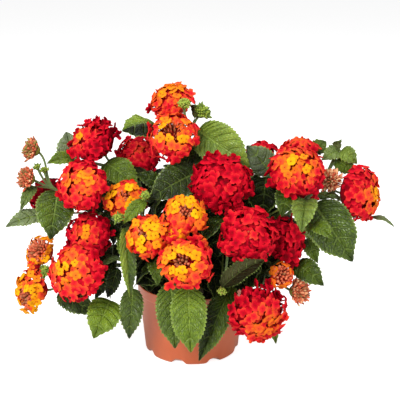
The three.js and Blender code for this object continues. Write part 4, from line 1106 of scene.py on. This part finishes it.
def bud_skin(root, tip, width, age, outline=CLUB):
    """Closed buds or bracts from root to tip, softly square. Their outline is their width at six places."""
    ahead = unit(tip - root)
    side = square_to(unit(vec(0.37, 0.61, 0.7))[None], ahead)
    other = np.cross(ahead, side)
    a = around(BUD_CORNERS)
    s = vec(0, 0.45, 0.68, 0.86, 0.97, 1)
    r = np.array(outline)
    square = 1 + 0.08 * np.cos(4 * a)
    path = root[:, None] + s[None, :, None] * (tip - root)[:, None]
    x, y = (np.cos(a) * square)[:, None], (np.sin(a) * square)[:, None]
    ring = x * side[:, None, None] + y * other[:, None, None]
    points = path[:, :, None] + (width[:, None] * r / 2)[..., None, None] * ring
    return rings_to_skin(points, age=age[:, None, None], reach=s[None, :, None])


def receptacle(head, share=0.26, age=0.0):
    """The small green ball that the tubes stand on, its middle a little below the head's own."""
    axis, across, other = head_frame(head)
    tilt = np.linspace(np.pi - 0.05, 0.05, 10)
    size = share * head.radius
    ring = circle(16, across, other)
    centre = vec(*head.centre) - axis * 0.24 * head.radius
    points = centre + size * (np.sin(tilt)[:, None, None] * ring + np.cos(tilt)[:, None, None] * axis)
    return rings_to_skin(points[None], age=age, reach=1.0)


def build_bloom(head):
    """Open florets outside the opening, closed buds deep inside it, and what they all stand on."""
    placed = spread(head, head.pitch, LOW_DROP)
    opened = placed[2] > head.opening
    middle, facing, angle, root, low = (part[opened] for part in placed)
    stops, ages = zip(*head.ages)
    age = np.interp(angle, stops, ages)
    age += rng.normal(0, 0.03, len(age)) + low * np.interp(age, *LOW_REDDENING)
    size = head.pitch * np.interp(age, *SIZE_BY_AGE)
    size *= rng.uniform(0.85, 1.12, len(age))
    node = "bloom_" + (head.node or head.name)
    share, drop = (head.core, 0.3) if head.opening > SMALL_OPENING else (0.8, 0.06)
    florets = floret_skin(middle, facing, root, size, age)
    # The core is coloured older, so darker and redder, than its florets: painted shade.
    core = core_skin(head, min(0.95, age.mean() + 0.15), share, drop)
    build_piece("florets_" + head.name, [florets, core], PETAL_FINISH, "petal", node)
    green = [receptacle(head)]
    if head.opening:
        placed = spread(head, BUD_PITCH)
        edge = head.opening + 5
        middle, facing, angle, root, _ = (part[placed[2] < edge] for part in placed)
        share = angle / edge
        depth, base_tint, top_tint = (1, 0.6, 0.85) if head.opening > WIDE_OPENING else (4.5, 0.5, 0.75)
        deep = depth * (1.1 - share)
        width = head.bud * rng.uniform(0.8, 1.15, len(share))
        tint = base_tint + 0.2 * share + rng.normal(0, 0.1, len(share))
        tint = np.clip(tint, 0.4, top_tint)
        green.append(bud_skin(root, middle - facing * deep[:, None], width, tint))
    build_piece("buds_" + head.name, green, BUD_FINISH, "bud", node)


def build_bud_head(head):
    """A head of closed buds like long clubs that lean out from one place on the stalk."""
    middle, _, angle, root, _ = spread(head, CLUB_PITCH)
    root -= 0.22 * head.radius * unit(vec(*head.axis))
    ahead = unit(middle - root)
    tip = middle + ahead * rng.uniform(-2.4, 2, (len(middle), 1))
    width = rng.uniform(1.6, 2.2, len(tip))
    age = np.clip(np.interp(angle, *zip(*head.ages)) + rng.normal(0, 0.18, len(tip)), 0.25, 1)
    clubs = [receptacle(head, 0.5, 0.22), bud_skin(root, tip, width, age)]
    build_piece("closed_buds_" + head.name, clubs, BUD_FINISH, "bud", "bud_head_" + head.name)


def build_greens(shoot):
    """Tiny flower buds on the shoot's tip, with longer pointed bracts round them outside the opening."""
    skins = []
    for head in shoot.greens:
        tint = head.ages[0][1]
        middle, facing, _, root, _ = spread(head, GREEN_PITCH)
        tip = middle + facing * 0.15 * head.radius
        pale = tint + rng.normal(0, 0.04, len(tip))
        width = rng.uniform(1.6, 2.3, len(tip))
        skins += [receptacle(head, 0.55, tint / 2), bud_skin(root, tip, width, pale)]
        middle, facing, angle, root, _ = spread(head, 0.8 * head.radius)
        outer = angle > head.opening
        if outer.any():
            tip = middle[outer] + facing[outer] * 0.55 * head.radius
            width = np.full(len(tip), 0.36 * head.radius)
            skins.append(bud_skin(root[outer], tip, width, 0.03 + 0 * angle[outer], BRACT))
    if skins:
        build_piece("green_buds_" + shoot.name, skins, BUD_FINISH, "bud", "leafy_stem_" + shoot.name)


# ---- The studio ----


LIGHTS = [  # name, place and size in metres, watts
    ("key", (-0.45, -1.1, 0.95), 0.6, 19),
    ("fill", (0.9, -1.1, 0.7), 0.9, 4),
    ("left side", (-1.1, -0.25, 0.2), 0.6, 4.5),
    ("right side", (1.1, -0.25, 0.2), 0.6, 4.5),
    ("top", (0, 0.3, 1.4), 0.9, 10),
]
LIT_PLACE, CAMERA_PLACE, CAMERA_TARGET = (0, 0, 0.14), (0.008, -0.9, 0.43), (0.008, 0, 0.15)
FLOOR_REACH, FRAME_WIDTH, FOCAL_LENGTH_IN_FRAME = 4, 400, 997


def look_at(thing, place, target):
    thing.location = place
    thing.rotation_mode = "QUATERNION"
    thing.rotation_quaternion = (Vector(target) - Vector(place)).to_track_quat("-Z", "Y")
    bpy.context.scene.collection.objects.link(thing)


def add_light(name, place, size, watts):
    light = bpy.data.lights.new(name, "AREA")
    light.energy, light.size = watts, size
    look_at(bpy.data.objects.new(name, light), place, LIT_PLACE)


def floor_fill(graph):
    """Paper lit by lamps of its own, which only the camera sees: it keeps the floor white to the horizon."""
    seen = graph.add("ShaderNodeLightPath").outputs["Is Camera Ray"]
    shader = graph.tree.nodes["Principled BSDF"]
    shader.inputs["Base Color"].default_value = (0.8, 0.8, 0.8, 1)
    shader.inputs["Emission Color"].default_value = (1, 1, 1, 1)
    return {"Emission Strength": graph.math("MULTIPLY", seen, 0.8)}


def build_studio():
    """A pale floor, a white world, a strong soft light from the upper left, and weaker ones from the right,
    from low on both sides and from above."""
    scene = bpy.context.scene
    scene.view_settings.view_transform = "Standard"
    world = bpy.data.worlds.new("studio")
    world.use_nodes = True
    graph = Graph(world.node_tree)
    background = graph.tree.nodes["Background"]
    background.inputs["Color"].default_value = (1, 1, 1, 1)
    seen = graph.add("ShaderNodeLightPath").outputs["Is Camera Ray"]
    graph.tree.links.new(graph.math("MULTIPLY_ADD", seen, 0.84, 0.16), background.inputs["Strength"])
    scene.world = world

    mesh = bpy.data.meshes.new("floor")
    corners = [(x * FLOOR_REACH, y * FLOOR_REACH, 0) for x, y in ((-1, -1), (1, -1), (1, 1), (-1, 1))]
    mesh.from_pydata(corners, [], [(0, 1, 2, 3)])
    floor = bpy.data.objects.new("floor", mesh)
    scene.collection.objects.link(floor)
    mesh.materials.append(finish("pale floor", floor_fill, roughness=1.0, Specular_IOR_Level=0.0))

    for name, place, size, watts in LIGHTS:
        add_light(name, place, size, watts)

    camera = bpy.data.objects.new("camera", bpy.data.cameras.new("camera"))
    camera.data.lens = camera.data.sensor_width * FOCAL_LENGTH_IN_FRAME / FRAME_WIDTH
    look_at(camera, CAMERA_PLACE, CAMERA_TARGET)
    scene.camera = camera


build_studio()
build_pot()
build_soil()
for shoot in SHOOTS:
    build_shoot(shoot)
    build_greens(shoot)
    for bloom in shoot.blooms:
        build_bloom(bloom)
    for bud_head in shoot.bud_heads:
        build_bud_head(bud_head)
